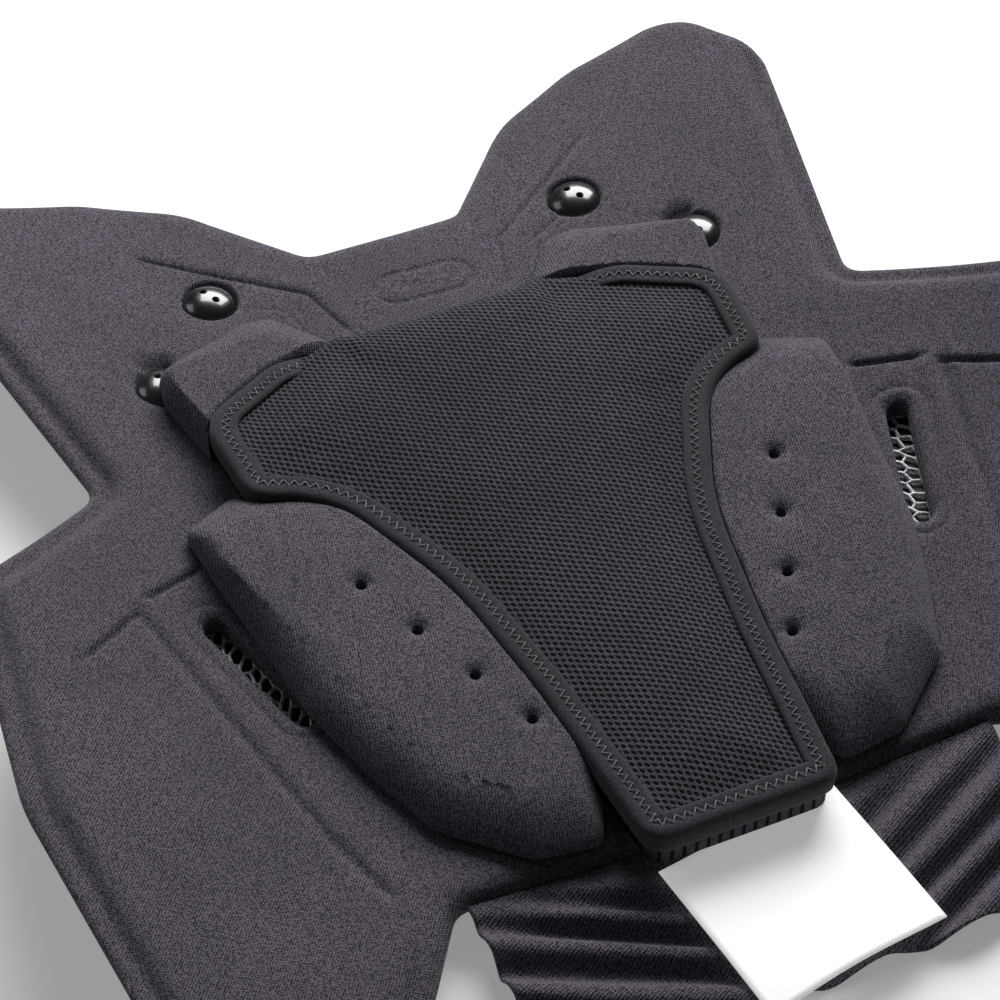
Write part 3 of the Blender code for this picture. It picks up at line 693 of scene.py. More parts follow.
def spacer_group():
    """Spacer mesh: rows of small lens-shaped holes, each row half a cell on from the last."""
    group = new_group(
        "Spacer mesh",
        (
            ("Vector", VECTOR, (0, 0, 0)),
            ("Cell Width", FLOAT, 0.0022),
            ("Cell Height", FLOAT, 0.0020),
            ("Thread", COLOUR, (0.06, 0.06, 0.068, 1)),
            # Near-black colour of the holes: painted shade
            ("Depth", COLOUR, (0.0015, 0.0015, 0.002, 1)),
        ),
        (("Color", COLOUR), ("Height", FLOAT)),
    )
    w = Wiring(group)
    given = w.node("NodeGroupInput").outputs
    x, y, _ = w.split(given["Vector"])
    drift = w.math("MULTIPLY", w.math("SUBTRACT", w.noise(given["Vector"], 60.0), 0.5), 0.5)
    v = w.math("ADD", w.math("DIVIDE", y, given["Cell Height"]), drift)
    row = w.math("FLOOR", v)
    odd = w.math("MULTIPLY", w.math("FLOORED_MODULO", row, 2.0), 0.5)
    u = w.math("ADD", w.math("DIVIDE", x, given["Cell Width"]), w.math("ADD", odd, drift))
    across = w.math("SUBTRACT", w.math("FRACT", u), 0.5)
    along = w.math("SUBTRACT", w.math("FRACT", v), 0.5)
    slant = w.math("MULTIPLY_ADD", across, 0.35, along)
    wide = w.math("DIVIDE", across, 0.42)
    tall = w.math("DIVIDE", slant, 0.31)
    reach = w.math("ADD", w.math("MULTIPLY", wide, wide), w.math("MULTIPLY", tall, tall))
    hole = w.run(reach, 1.15, 0.70)
    # Paler flecks on the threads at random: painted highlights
    fibre_highlight = w.noise(given["Vector"], 1500.0, 2.0, 0.6)
    thread = w.mix(w.run(fibre_highlight, 0.35, 0.75), given["Thread"], (0.100, 0.098, 0.122, 1))
    rim = w.math("MULTIPLY", w.math("COSINE", w.math("MULTIPLY", along, 2 * math.pi)), 0.06)
    out = w.node("NodeGroupOutput")
    # The holes are painted near-black: painted shade where the mesh opens onto the shadowed layers below
    w.put(out.inputs["Color"], w.mix(hole, thread, given["Depth"]))
    w.put(out.inputs["Height"], w.math("SUBTRACT", w.math("SUBTRACT", 1.0, hole), rim))
    return group


def tone_group():
    """Slow change of tone over a cloth: handling, dust and stretch."""
    group = new_group(
        "Cloth tone",
        (
            ("Vector", VECTOR, (0, 0, 0)),
            ("Color", COLOUR, (0.1, 0.1, 0.1, 1)),
            ("Strength", FLOAT, 0.15),
            ("Lint", FLOAT, 0.3),
        ),
        (("Color", COLOUR), ("Roughness", FLOAT)),
    )
    w = Wiring(group)
    given = w.node("NodeGroupInput").outputs
    slow = w.noise(given["Vector"], 22.0, 4.0, 0.6)
    low = w.math("SUBTRACT", 1.0, given["Strength"])
    high = w.math("ADD", 1.0, given["Strength"])
    level = w.run(slow, 0.3, 0.7, low, high)
    toned = w.mix(1.0, given["Color"], level, "MULTIPLY")
    specks = w.node("ShaderNodeTexVoronoi")
    w.put(specks.inputs["Vector"], given["Vector"])
    specks.inputs["Scale"].default_value = 95.0
    lint = w.math("MULTIPLY", w.run(specks.outputs["Distance"], 0.045, 0.02), given["Lint"])
    out = w.node("NodeGroupOutput")
    w.put(out.inputs["Color"], w.mix(lint, toned, (0.42, 0.41, 0.43, 1)))
    w.put(out.inputs["Roughness"], w.run(slow, 0.3, 0.7, 0.82, 0.95))
    return group


def grain_group():
    """Fine leathery grain of a moulded surface, with a paler worn edge."""
    group = new_group(
        "Moulded grain",
        (
            ("Vector", VECTOR, (0, 0, 0)),
            ("Color", COLOUR, (0.02, 0.02, 0.02, 1)),
            ("Grain Size", FLOAT, 900.0),
            ("Wear", FLOAT, 0.2),
        ),
        (("Color", COLOUR), ("Height", FLOAT), ("Roughness", FLOAT)),
    )
    w = Wiring(group)
    given = w.node("NodeGroupInput").outputs
    cells = w.node("ShaderNodeTexVoronoi", feature="SMOOTH_F1")
    w.put(cells.inputs["Vector"], given["Vector"])
    w.put(cells.inputs["Scale"], given["Grain Size"])
    slow = w.noise(given["Vector"], 35.0, 3.0, 0.6)
    scuff = w.math("MULTIPLY", w.run(slow, 0.52, 0.78), given["Wear"])
    out = w.node("NodeGroupOutput")
    w.put(out.inputs["Color"], w.mix(scuff, given["Color"], (0.16, 0.16, 0.17, 1)))
    w.put(out.inputs["Height"], cells.outputs["Distance"])
    w.put(out.inputs["Roughness"], w.run(slow, 0.3, 0.7, 0.42, 0.6))
    return group


class Finishes:
    """The materials, made when they are first asked for."""

    def __init__(self):
        self.made = {}
        self.groups = {}

    def group(self, maker):
        if maker not in self.groups:
            self.groups[maker] = maker()
        return self.groups[maker]

    def get(self, name):
        if name not in self.made:
            self.made[name] = getattr(self, name)()
        return self.made[name]

    def start(self, name, sheen=0.0, coat=0.0, specular=0.5):
        material = bpy.data.materials.new(name)
        material.use_nodes = True
        shader = material.node_tree.nodes["Principled BSDF"]
        shader.inputs["Sheen Weight"].default_value = sheen
        shader.inputs["Sheen Roughness"].default_value = 0.45
        shader.inputs["Coat Weight"].default_value = coat
        shader.inputs["Specular IOR Level"].default_value = specular
        return material, shader, Wiring(material.node_tree)

    def place(self, w, turn=0.0):
        where = w.node("ShaderNodeTexCoord")
        mapping = w.node("ShaderNodeMapping")
        mapping.inputs["Rotation"].default_value = (0, 0, turn)
        w.put(mapping.inputs["Vector"], where.outputs["Object"])
        return mapping.outputs["Vector"]

    def use(self, w, maker, **values):
        node = w.node("ShaderNodeGroup")
        node.node_tree = self.group(maker)
        for name, value in values.items():
            w.put(node.inputs[name.replace("_", " ")], value)
        return node.outputs

    def bump(self, w, shader, height, strength, distance):
        bump = w.node("ShaderNodeBump")
        bump.inputs["Strength"].default_value = strength
        bump.inputs["Distance"].default_value = distance
        w.put(bump.inputs["Height"], height)
        w.put(shader.inputs["Normal"], bump.outputs["Normal"])

    # Knit cloth whose paler colour is painted on the rib crests as highlight, as well as mixed in at
    # random as melange
    def knit(self, name, yarn, lit_speckle, turn, pitch, strength=0.9, contrast=1.0, lint=0.10):
        material, shader, w = self.start(name, sheen=0.10, specular=0.15)
        where = self.place(w, turn)
        cloth = self.use(
            w, knit_group, Vector=where, Rib_Pitch=pitch, Yarn=yarn, Speckle=lit_speckle, Contrast=contrast
        )
        tone = self.use(w, tone_group, Vector=where, Color=cloth["Color"], Strength=0.10, Lint=lint)
        w.put(shader.inputs["Base Color"], tone["Color"])
        w.put(shader.inputs["Roughness"], tone["Roughness"])
        self.bump(w, shader, cloth["Height"], strength, 0.00025)
        return material

    def liner_jersey(self):
        options = bpy.context.scene.protector_colours
        return self.knit("liner_jersey", (*options.jersey, 1), (*options.jersey_lit_speckle, 1), 0.62, 0.00078)

    def pad_jersey(self):
        options = bpy.context.scene.protector_colours
        return self.knit("pad_jersey", (*options.jersey, 1), (*options.jersey_lit_speckle, 1), 0.2, 0.00085)

    def gusset_jersey(self):
        options = bpy.context.scene.protector_colours
        yarn = (*options.jersey, 1)
        return self.knit("gusset_jersey", yarn, (*options.jersey_lit_speckle, 1), 1.1, 0.0010, 0.8)

    def binding_tape(self):
        options = bpy.context.scene.protector_colours
        yarn = (*options.binding, 1)
        # The tape's paler colour is painted on its rib crests as highlight, and mixed in at random as
        # melange
        return self.knit("binding_tape", yarn, (0.088, 0.078, 0.098, 1), 0.4, 0.00042, 0.35, 0.7)

    def thread(self):
        material, shader, w = self.start("stitch_thread", sheen=0.4, specular=0.4)
        where = self.place(w)
        ply = w.noise(where, 1400.0, 2.0, 0.6)
        colour = w.mix(w.run(ply, 0.35, 0.65), (0.055, 0.050, 0.060, 1), (0.20, 0.19, 0.22, 1))
        w.put(shader.inputs["Base Color"], colour)
        shader.inputs["Roughness"].default_value = 0.55
        self.bump(w, shader, ply, 0.5, 0.0001)
        return material

    def spacer_mesh(self):
        options = bpy.context.scene.protector_colours
        material, shader, w = self.start("spacer_mesh", sheen=0.0, specular=0.06)
        where = self.place(w, math.radians(31))
        mesh = self.use(w, spacer_group, Vector=where, Thread=(*options.mesh_thread, 1))
        tone = self.use(w, tone_group, Vector=where, Color=mesh["Color"], Strength=0.12, Lint=0.0)
        w.put(shader.inputs["Base Color"], tone["Color"])
        shader.inputs["Roughness"].default_value = 0.75
        self.bump(w, shader, mesh["Height"], 0.6, 0.0004)
        return material

    def gloss(self):
        material, shader, w = self.start("bolt_gloss", coat=0.7, specular=0.8)
        where = self.place(w)
        haze = w.noise(where, 420.0, 4.0, 0.7)
        grain = self.use(w, grain_group, Vector=where, Color=(0.006, 0.006, 0.007, 1), Wear=0.04)
        w.put(shader.inputs["Base Color"], grain["Color"])
        w.put(shader.inputs["Roughness"], w.run(haze, 0.35, 0.75, 0.24, 0.32))
        self.bump(w, shader, haze, 0.05, 0.0001)
        return material

    def shell_plastic(self):
        material, shader, w = self.start("shell_plastic", specular=0.5)
        grain = self.use(w, grain_group, Vector=self.place(w), Color=(0.013, 0.013, 0.015, 1), Wear=0.18)
        w.put(shader.inputs["Base Color"], grain["Color"])
        w.put(shader.inputs["Roughness"], grain["Roughness"])
        self.bump(w, shader, grain["Height"], 0.25, 0.0002)
        return material

    def strand(self):
        material, shader, w = self.start("grille_strand", coat=0.4, specular=0.6)
        where = self.place(w)
        # Grey-white marbling at random over the pale grey strands: painted reflections
        cloud = w.noise(where, 520.0, 3.0, 0.65)
        colour = w.mix(w.run(cloud, 0.36, 0.66), (0.30, 0.31, 0.34, 1), (0.86, 0.88, 0.92, 1))
        w.put(shader.inputs["Base Color"], colour)
        w.put(shader.inputs["Roughness"], w.run(cloud, 0.3, 0.7, 0.15, 0.4))
        self.bump(w, shader, cloud, 0.5, 0.0004)
        return material

    def satin(self):
        material, shader, w = self.start("label_satin", sheen=0.3, specular=0.5)
        where = self.place(w, LABEL_TURN)
        weave = self.use(
            w,
            knit_group,
            Vector=where,
            Rib_Pitch=0.0005,
            Yarn=(0.93, 0.93, 0.93, 1),
            # Paler white painted on the weave's rib crests as highlight
            Speckle=(0.98, 0.98, 0.98, 1),
            Contrast=0.6,
        )
        w.put(shader.inputs["Base Color"], weave["Color"])
        # Painted glow: the label emits light, though it is no lamp
        shader.inputs["Emission Color"].default_value = (1, 1, 1, 1)
        shader.inputs["Emission Strength"].default_value = LABEL_PAINTED_GLOW
        shader.inputs["Roughness"].default_value = 0.45
        self.bump(w, shader, weave["Height"], 0.15, 0.0001)
        return material

    def floor(self):
        material, shader, w = self.start("studio_floor", specular=0.2)
        where = self.place(w)
        cloud = w.noise(where, 3.0, 2.0, 0.5)
        w.put(shader.inputs["Base Color"], w.mix(cloud, (0.86, 0.86, 0.86, 1), (0.90, 0.90, 0.90, 1)))
        shader.inputs["Roughness"].default_value = 0.8
        shader.inputs["Emission Color"].default_value = (1, 1, 1, 1)
        shader.inputs["Emission Strength"].default_value = 0.25
        return material


FINISHES = Finishes()


# Liner


def slot_ring(width, length, side):
    """Outline of a vent slot on one side, with round ends."""
    half = length / 2 - width / 2
    turns = np.linspace(0, math.pi, ROUND_END)
    right = [(width / 2 * math.cos(a), half + width / 2 * math.sin(a)) for a in turns]
    left = [(-x, -y) for x, y in right]
    turn = Matrix.Rotation(-SLOT_LEAN, 2)
    placed = [turn @ Vector(p) + Vector((SLOT_ACROSS, -SLOT_ALONG)) for p in right + left]
    points = np.array([tuple(p) for p in placed]) * (side, 1)
    return resampled(points, EDGE_STEP / 2)


def crease_routes():
    """Each crease on both sides, as a line on the plan with its depth and width."""
    routes = []
    for crease in CREASES:
        across = [place.across * HALF_WIDTH for place in crease.route]
        along = [SHOULDER_REACH - place.along * PLATE_LENGTH for place in crease.route]
        line = np.column_stack((across, along))
        for side, strength in ((-1, crease.left), (1, 1.0)):
            route = resampled(line * (side, 1), EDGE_STEP / 2, closed=False)
            routes.append((route, crease.depth * strength, crease.width))
    return routes


def pressed_line(gap, width):
    """1 on a pressed line, fading softly over its width to both sides."""
    return np.exp(-((gap / width) ** 2))


def bolt_seat_level(points, side):
    """Level of the hollows round the bolts on one side, and of the notch beside the lower one."""
    level = np.zeros(len(points))
    for place in BOLT_PLACES.values():
        gap = np.hypot(points[:, 0] - side * place.across, points[:, 1] + place.along - BOLT_ADVANCE)
        seat = 1 - smooth(gap, BOLT_HEAD / 2 - 0.0006, BOLT_HEAD / 2 + 0.0008)
        level -= (BOLT_RECESS + BOLT_SINK) * seat + SEAT_DIP * (1 - smooth(gap, 0.009, 0.015))
    notch = BOLT_PLACES["bolt_lower"]
    reach = BOLT_ADVANCE + BOLT_HEAD / 2 + 0.0014
    spot = np.array((side * (notch.across - 0.001), -notch.along + reach))
    gap = np.hypot((points[:, 0] - spot[0]) / NOTCH_STRETCH, points[:, 1] - spot[1])
    return level - NOTCH_DEPTH * (1 - smooth(gap, 0.0010, 0.0032))


def liner_level(points):
    """Level of the liner's face over plan points, below its flat middle."""
    edge = distance_to(points, plate_outline(0))
    ribbed = smooth(np.abs(points[:, 0]), *RIB_START) * (1 - smooth(points[:, 1], *RIB_END))
    pressed = 1 - smooth(edge, RIM_WIDTH * 0.5, RIM_WIDTH + RIM_DROP)
    rolled = 1 - np.sqrt(np.clip(1 - (1 - np.clip(edge / RIM_WIDTH, 0, 1)) ** 2, 0, 1))
    level = -RIM_DROP * (pressed * ribbed + rolled * (1 - ribbed))
    level -= EDGE_ROLL * (1 - smooth(edge, 0, EDGE_ROLL_WIDTH))
    level -= RIM_GROOVE * pressed_line(edge - RIM_WIDTH * 0.7, RIM_GROOVE_WIDTH) * ribbed
    for line, depth, width in crease_routes():
        gap = distance_to(points, line, closed=False)
        ends = np.vstack((line[0], line[-1]))
        near = np.linalg.norm(points[:, None] - ends[None], axis=2).min(axis=1)
        groove = pressed_line(gap, width)
        lip = pressed_line(gap - 2.6 * width, 1.3 * width)
        level -= depth * (groove - CREASE_LIP * lip) * (0.35 + 0.65 * smooth(near, 0, CREASE_FADE))
    badge = distance_to(points, badge_ring())
    level -= BADGE_GROOVE * pressed_line(badge, BADGE_GROOVE_WIDTH)
    for side in (-1, 1):
        gap = distance_to(points, slot_ring(SLOT_WIDTH, SLOT_LENGTH, side))
        level -= SLOT_DIP * (1 - smooth(gap, 0, SLOT_DIP_WIDTH))
        level -= SLOT_LINE * pressed_line(gap - SLOT_LINE_GAP, SLOT_LINE_WIDTH)
        level += bolt_seat_level(points, side)
    level += 0.00022 * rough(points, 0.045, 1) + 0.00010 * rough(points, 0.012, 2)
    return level


def sheet_solid(name, rings, fill_step, keep, top_level, bottom_level, bulge):
    """Closed foam sheet: its outline and holes, its upper face, rounded walls and a lower face."""
    line, holes = rings[0], rings[1:]
    extra = [points for points, _ in keep]
    fill = packed_points(line, fill_step, [(h, True) for h in holes] + keep, fill_step * 0.55)
    spots, faces = filled(line, holes, np.vstack((*extra, fill)))
    bm = bmesh.new()
    upper = top_level(spots)
    add_faces(bm, lifted(np.column_stack((spots, upper))), faces)
    face_up(bm)
    for loop in boundary_loops(bm):
        plan = np.array([tuple(vert.co) for vert in loop]) - ORIGIN
        middle = plan[:, :2]
        ahead = np.roll(middle, -1, axis=0) - np.roll(middle, 1, axis=0)
        out = np.column_stack((ahead[:, 1], -ahead[:, 0]))
        out /= np.maximum(np.linalg.norm(out, axis=1)[:, None], WELD)
        base = chest_height(plan)
        start = plan[:, 2] - base
        chain = loop
        for drop, push in WALL_SECTION:
            level = start + (bottom_level - start) * drop
            spot = middle + out * bulge * push
            chain = wall_ring(bm, chain, lifted(np.column_stack((spot, level))))
        wall_ring(bm, chain, lifted(np.column_stack((middle, np.full(len(middle), bottom_level)))))
    lower = np.column_stack((spots, np.full(len(spots), bottom_level)))
    add_faces(bm, lifted(lower), [face[::-1] for face in faces])
    outward(bm)
    return mesh_object(name, bm)


def badge_ring():
    """The pill-shaped groove pressed below the neck, which stays bare inside."""
    turns = np.linspace(-math.pi / 2, math.pi / 2, ROUND_END)
    right = [(BADGE_HALF_LENGTH + BADGE_ROUND * math.cos(a), BADGE_ROUND * math.sin(a)) for a in turns]
    left = [(-x, -y) for x, y in right]
    turn = Matrix.Rotation(BADGE_TURN, 2)
    placed = [turn @ Vector(p) + Vector(BADGE_PLACE) for p in right + left]
    return resampled(np.array([tuple(p) for p in placed]), EDGE_STEP / 2)


def shank_holes():
    """Round holes for the bolts' shanks."""
    holes = []
    for place in BOLT_PLACES.values():
        for side in (-1, 1):
            holes.append(circle((side * place.across, BOLT_ADVANCE - place.along), SHANK_HOLE, 24))
    return holes


def build_liner():
    line = plate_outline(0)
    keep = []
    for inset in RIM_GUIDES:
        keep.append((plate_outline(inset, EDGE_STEP * 1.15), True))
    slots = []
    for side in (-1, 1):
        slots.append(slot_ring(SLOT_WIDTH, SLOT_LENGTH, side))
        for grow in SLOT_GUIDES:
            keep.append((slot_ring(SLOT_WIDTH + 2 * grow, SLOT_LENGTH + 2 * grow, side), True))
        for place in BOLT_PLACES.values():
            for radius in BOLT_GUIDES:
                centre = (side * place.across, BOLT_ADVANCE - place.along)
                keep.append((circle(centre, radius, ROUND_SIDES), True))
    for route, _, width in crease_routes():
        for offset in (-2.6, -1.5, -0.8, 0, 0.8, 1.5, 2.6):
            keep.append((beside(route, offset * width), False))
    badge = badge_ring()
    for offset in (-0.0018, -0.0009, 0, 0.0009, 0.0018):
        keep.append((beside(badge, offset), True))
    holes = slots + shank_holes()
    keep = thinned(keep, line, holes)
    rings = [line, *holes]
    obj = sheet_solid("liner", rings, CLOTH_STEP, keep, liner_level, -LINER_THICKNESS, LINER_BULGE)
    finished(obj, FINISHES.get("liner_jersey"), "jersey", "chest_liner")


def circle(centre, radius, sides):
    turns = np.linspace(0, 2 * math.pi, sides, endpoint=False)
    return np.column_stack((centre[0] + radius * np.cos(turns), centre[1] + radius * np.sin(turns)))


def beside(line, offset):
    """An open line moved sideways."""
    ahead = np.gradient(line, axis=0)
    side = np.column_stack((-ahead[:, 1], ahead[:, 0]))
    return line + offset * side / np.maximum(np.linalg.norm(side, axis=1)[:, None], WELD)


def thinned(keep, line, holes):
    """Guide lines with the points left out that fall outside, in a hole or on an earlier line."""
    result = []
    taken = np.vstack((line, *holes))
    for points, closed in keep:
        clear = inside(points, line)
        for hole in holes:
            clear &= ~inside(points, hole)
        points = points[clear]
        if len(points):
            gaps = np.linalg.norm(points[:, None, :] - taken[None, :, :], axis=2).min(axis=1)
            points = points[gaps > 0.0005]
        if len(points) > 1:
            result.append((points, closed and len(points) > 8))
            taken = np.vstack((taken, points))
    return result


# Pads


def pad_ring(rows, inner, top, width, length, blend):
    corners = []
    for row in rows:
        across = row.base_across + blend * (row.top_across - row.base_across)
        along = row.base_along + blend * (row.top_along - row.base_along)
        corners.append((inner + across * width, -top - along * length, row.radius * width))
    return rounded(corners)


def inward(ring, inset):
    """A clockwise ring moved inwards along its normals."""
    ahead = np.roll(ring, -1, axis=0) - np.roll(ring, 1, axis=0)
    side = np.column_stack((ahead[:, 1], -ahead[:, 0]))
    return ring + inset * side / np.maximum(np.linalg.norm(side, axis=1)[:, None], WELD)


def even_rings(rings, step):
    """The same number of points on each ring, evenly along the base ring."""
    base = rings[0]
    closed = np.vstack((base, base[:1]))
    at = np.r_[0, np.cumsum(np.linalg.norm(np.diff(closed, axis=0), axis=1))]
    count = int(round(at[-1] / step))
    wanted = np.linspace(0, at[-1], count, endpoint=False)
    even = []
    for ring in rings:
        line = np.vstack((ring, ring[:1]))
        even.append(np.column_stack([np.interp(wanted, at, line[:, k]) for k in (0, 1)]))
    return even


def hole_dish(points, centre):
    """How far the cloth is drawn down round a hole."""
    gap = np.hypot(points[:, 0] - centre[0], points[:, 1] - centre[1])
    dish = DISH_DEPTH * pressed_line(gap - DISH_PLACE, DISH_WIDTH)
    return dish + HOLLOW_DEPTH * pressed_line(gap, HOLLOW_WIDTH)


def pad_solid(name, side, rows, inner, top, width, length, holes):
    rings = [pad_ring(rows, inner, top, width, length, blend) for blend, _ in PAD_SECTION]
    rings = even_rings(rings, PAD_STEP)
    levels = [CLEARANCE + rise * (PAD_HEIGHT - CLEARANCE) for _, rise in PAD_SECTION]
    bores = [circle(centre, BORE_RADIUS, 24) for centre in holes]
    around = []
    for centre in holes:
        for radius in HOLE_GUIDES:
            around.append((circle(centre, radius, 28), True))
    cap = rings[-1]
    ridge = [(inward(cap, inset), True) for inset in (0.0011, 0.0024, 0.0040)]
    around = thinned(ridge + around, cap, bores)
    fill = packed_points(cap, PAD_STEP, [(b, True) for b in bores] + around, PAD_STEP * 0.6)
    spots, faces = filled(cap, bores, np.vstack((*[p for p, _ in around], fill)))
    edge = distance_to(spots, cap)
    roll = (PAD_HEIGHT - levels[-1]) * smooth(edge, -0.004, 0.004) - (PAD_HEIGHT - levels[-1]) / 2
    level = levels[-1] + roll + 0.0008 * smooth(edge, 0, 0.022)
    level += 0.00016 * rough(spots, 0.014, 3) * smooth(edge, 0, 0.004)
    bm = bmesh.new()
    add_faces(bm, np.column_stack((spots, level)), faces)
    face_up(bm)
    loops = boundary_loops(bm)
    loops.sort(key=len, reverse=True)
    chain = [bm.verts.new((*p, levels[0])) for p in rings[0]]
    bm.faces.new(chain)
    for ring, height in zip(rings[1:], levels[1:]):
        chain = wall_ring(bm, chain, [(*p, height) for p in ring])
    for loop in loops[1:]:
        centre = sum((vert.co for vert in loop), Vector()) / len(loop)
        for depth, share in BORE_SECTION:
            points = []
            for vert in loop:
                flat = (vert.co - centre) * share
                points.append((centre.x + flat.x, centre.y + flat.y, levels[-1] - depth - BORE_STEP))
            loop = wall_ring(bm, loop, points)
        bm.faces.new(list(reversed(loop)))
    outward(bm)
    if side < 0:
        bmesh.ops.scale(bm, vec=(-1, 1, 1), verts=bm.verts)
        bmesh.ops.reverse_faces(bm, faces=bm.faces)
    return mesh_object(name, bm)


def drawn_down(points, holes):
    """Sinks the top face of a pad round its holes."""
    points = points.copy()
    for centre in holes:
        share = smooth(points[:, 2], PAD_HEIGHT * 0.55, PAD_HEIGHT * 0.9)
        points[:, 2] -= hole_dish(points, centre) * share
    return points


def puffed(obj, pinned, cap, pressure):
    """Blows a padded piece up a little as cloth, so that its faces swell between their ridges."""
    start = coords(obj)
    held = obj.vertex_groups.new(name="held")
    held.add([int(k) for k in np.flatnonzero(pinned)], 1.0, "REPLACE")
    cloth = obj.modifiers.new("Puff", "CLOTH")
    cloth.settings.quality = 4
    cloth.settings.mass = 0.2
    cloth.settings.tension_stiffness = 14
    cloth.settings.compression_stiffness = 14
    cloth.settings.bending_stiffness = 1.5
    cloth.settings.use_pressure = True
    cloth.settings.uniform_pressure_force = pressure
    cloth.settings.vertex_group_mass = held.name
    cloth.settings.effector_weights.gravity = 0
    scene = bpy.context.scene
    for number in range(1, CLOTH_FRAMES + 1):
        scene.frame_set(number)
    graph = bpy.context.evaluated_depsgraph_get()
    blown = obj.evaluated_get(graph).to_mesh()
    end = np.empty(len(start) * 3)
    blown.vertices.foreach_get("co", end)
    obj.evaluated_get(graph).to_mesh_clear()
    moved = np.nan_to_num(end.reshape(-1, 3) - start)
    reach = np.linalg.norm(moved, axis=1)
    moved *= np.minimum(1, cap / np.maximum(reach, WELD))[:, None]
    obj.modifiers.clear()
    obj.vertex_groups.clear()
    set_coords(obj, start + moved)
    scene.frame_set(1)


def lower_holes():
    holes = []
    for number in range(HOLE_COUNT):
        share = number / (HOLE_COUNT - 1)
        across = FIRST_HOLE.across + share * (LAST_HOLE.across - FIRST_HOLE.across)
        along = FIRST_HOLE.along + share * (LAST_HOLE.along - FIRST_HOLE.along)
        x = LOWER_PAD_INNER + across * LOWER_PAD_WIDTH
        holes.append((x, -LOWER_PAD_TOP - along * LOWER_PAD_LENGTH))
    return holes


def build_pads():
    """Two swollen lower pads with a row of drawn-in holes, and two plain upper pads."""
    lower = (LOWER_PAD_CORNERS, LOWER_PAD_INNER, LOWER_PAD_TOP, LOWER_PAD_WIDTH, LOWER_PAD_LENGTH)
    upper = (UPPER_PAD_CORNERS, UPPER_PAD_INNER, UPPER_PAD_TOP, UPPER_PAD_WIDTH, UPPER_PAD_LENGTH)
    for kind, sizes, holes in (("lower_pad", lower, lower_holes()), ("upper_pad", upper, [])):
        for word, side in (("left", -1), ("right", 1)):
            name = kind + "_" + word
            obj = pad_solid("dressed_" + name, side, *sizes, holes)
            flat = coords(obj)
            if kind == "lower_pad":
                puffed(obj, flat[:, 2] < PAD_HEIGHT * 0.3, PAD_SWELL, PAD_PRESSURE)
            placed = [(side * x, y) for x, y in holes]
            points = warped(drawn_down(coords(obj), placed))
            set_coords(obj, lifted(points))
            if kind == "upper_pad":
                subtract(obj, bolt_room(side, BOLT_PLACES["bolt_lower"]))
            subtract(obj, panel_room())
            obj.data.shade_smooth()
            finished(obj, FINISHES.get("pad_jersey"), "pad_jersey", name)


def panel_room():
    """Cutter that leaves the panel its place between the pads."""
    line = panel_outline(-PAD_GAP, 0.004)
    line = warped(np.column_stack((line, np.zeros(len(line)))))[:, :2]
    bm = bmesh.new()
    low = [bm.verts.new(p) for p in lifted(np.column_stack((line, np.full(len(line), -0.004))))]
    bm.faces.new(low)
    high = lifted(np.column_stack((line, np.full(len(line), 2 * PAD_HEIGHT))))
    ring = wall_ring(bm, low, high)
    bm.faces.new(list(reversed(ring)))
    bmesh.ops.triangulate(bm, faces=bm.faces)
    outward(bm)
    return mesh_object("panel_room", bm)


# Mesh panel and binding


def neck_share(points):
    """1 along the panel's neck edge, where no binding is sewn, and 0 elsewhere."""
    near = 1 - smooth(np.abs(points[:, 0]), NECK_HALF - 0.006, NECK_HALF + 0.002)
    return near * smooth(points[:, 1], -PANEL_TOP - 0.035, -PANEL_TOP - 0.020)


def panel_level(points):
    """Level of the mesh over the liner: a low pillow that rolls down to the liner at the neck."""
    edge = distance_to(points, panel_outline(0))
    seam = BINDING_WIDTH - 0.0006
    low = BINDING_LEVEL - SEAM_STEP
    sewn = low + (PANEL_HEIGHT - low) * smooth(edge, seam, seam + 0.022)
    sewn -= 0.0022 * (1 - smooth(edge, 0.001, 0.006))
    roll = 1 - np.clip(edge / 0.021, 0, 1)
    rolled = 0.0012 + (PANEL_HEIGHT - 0.0012) * (1 - roll**2.5) ** 0.4
    share = neck_share(points)
    level = sewn * (1 - share) + rolled * share
    level += 0.00045 * rough(points, 0.035, 4) * smooth(edge, seam, 0.03)
    return level


def build_panel():
    line = panel_outline(0)
    inner = panel_outline(0.0022, EDGE_STEP)
    share = neck_share(line)[:, None]
    nearest = np.array([inner[np.argmin(np.hypot(*(inner - p).T))] for p in line])
    line = resampled(line * share + nearest * (1 - share), EDGE_STEP)
    keep = [(panel_outline(inset, EDGE_STEP), True) for inset in PANEL_GUIDES]
    keep = thinned(keep, line, [])
    fill = packed_points(line, PAD_STEP, keep, PAD_STEP * 0.6)
    spots, faces = filled(line, [], np.vstack((*[p for p, _ in keep], fill)))
    bm = bmesh.new()
    add_faces(bm, np.column_stack((spots, panel_level(spots))), faces)
    face_up(bm)
    loop = boundary_loops(bm)[0]
    ring = wall_ring(bm, loop, [(v.co.x, v.co.y, CLEARANCE + (v.co.z - CLEARANCE) * 0.5) for v in loop])
    base = wall_ring(bm, ring, [(v.co.x, v.co.y, CLEARANCE) for v in ring])
    bm.faces.new(list(reversed(base)))
    outward(bm)
    obj = mesh_object("padded_mesh", bm)
    flat = coords(obj)
    edge = distance_to(flat[:, :2], panel_outline(0))
    sewn = (edge < BINDING_WIDTH) | (flat[:, 2] < PANEL_HEIGHT * 0.5)
    puffed(obj, sewn, PANEL_SWELL, PANEL_PRESSURE)
    set_coords(obj, lifted(warped(coords(obj))))
    finished(obj, FINISHES.get("spacer_mesh"), "panel_mesh", "mesh_panel")


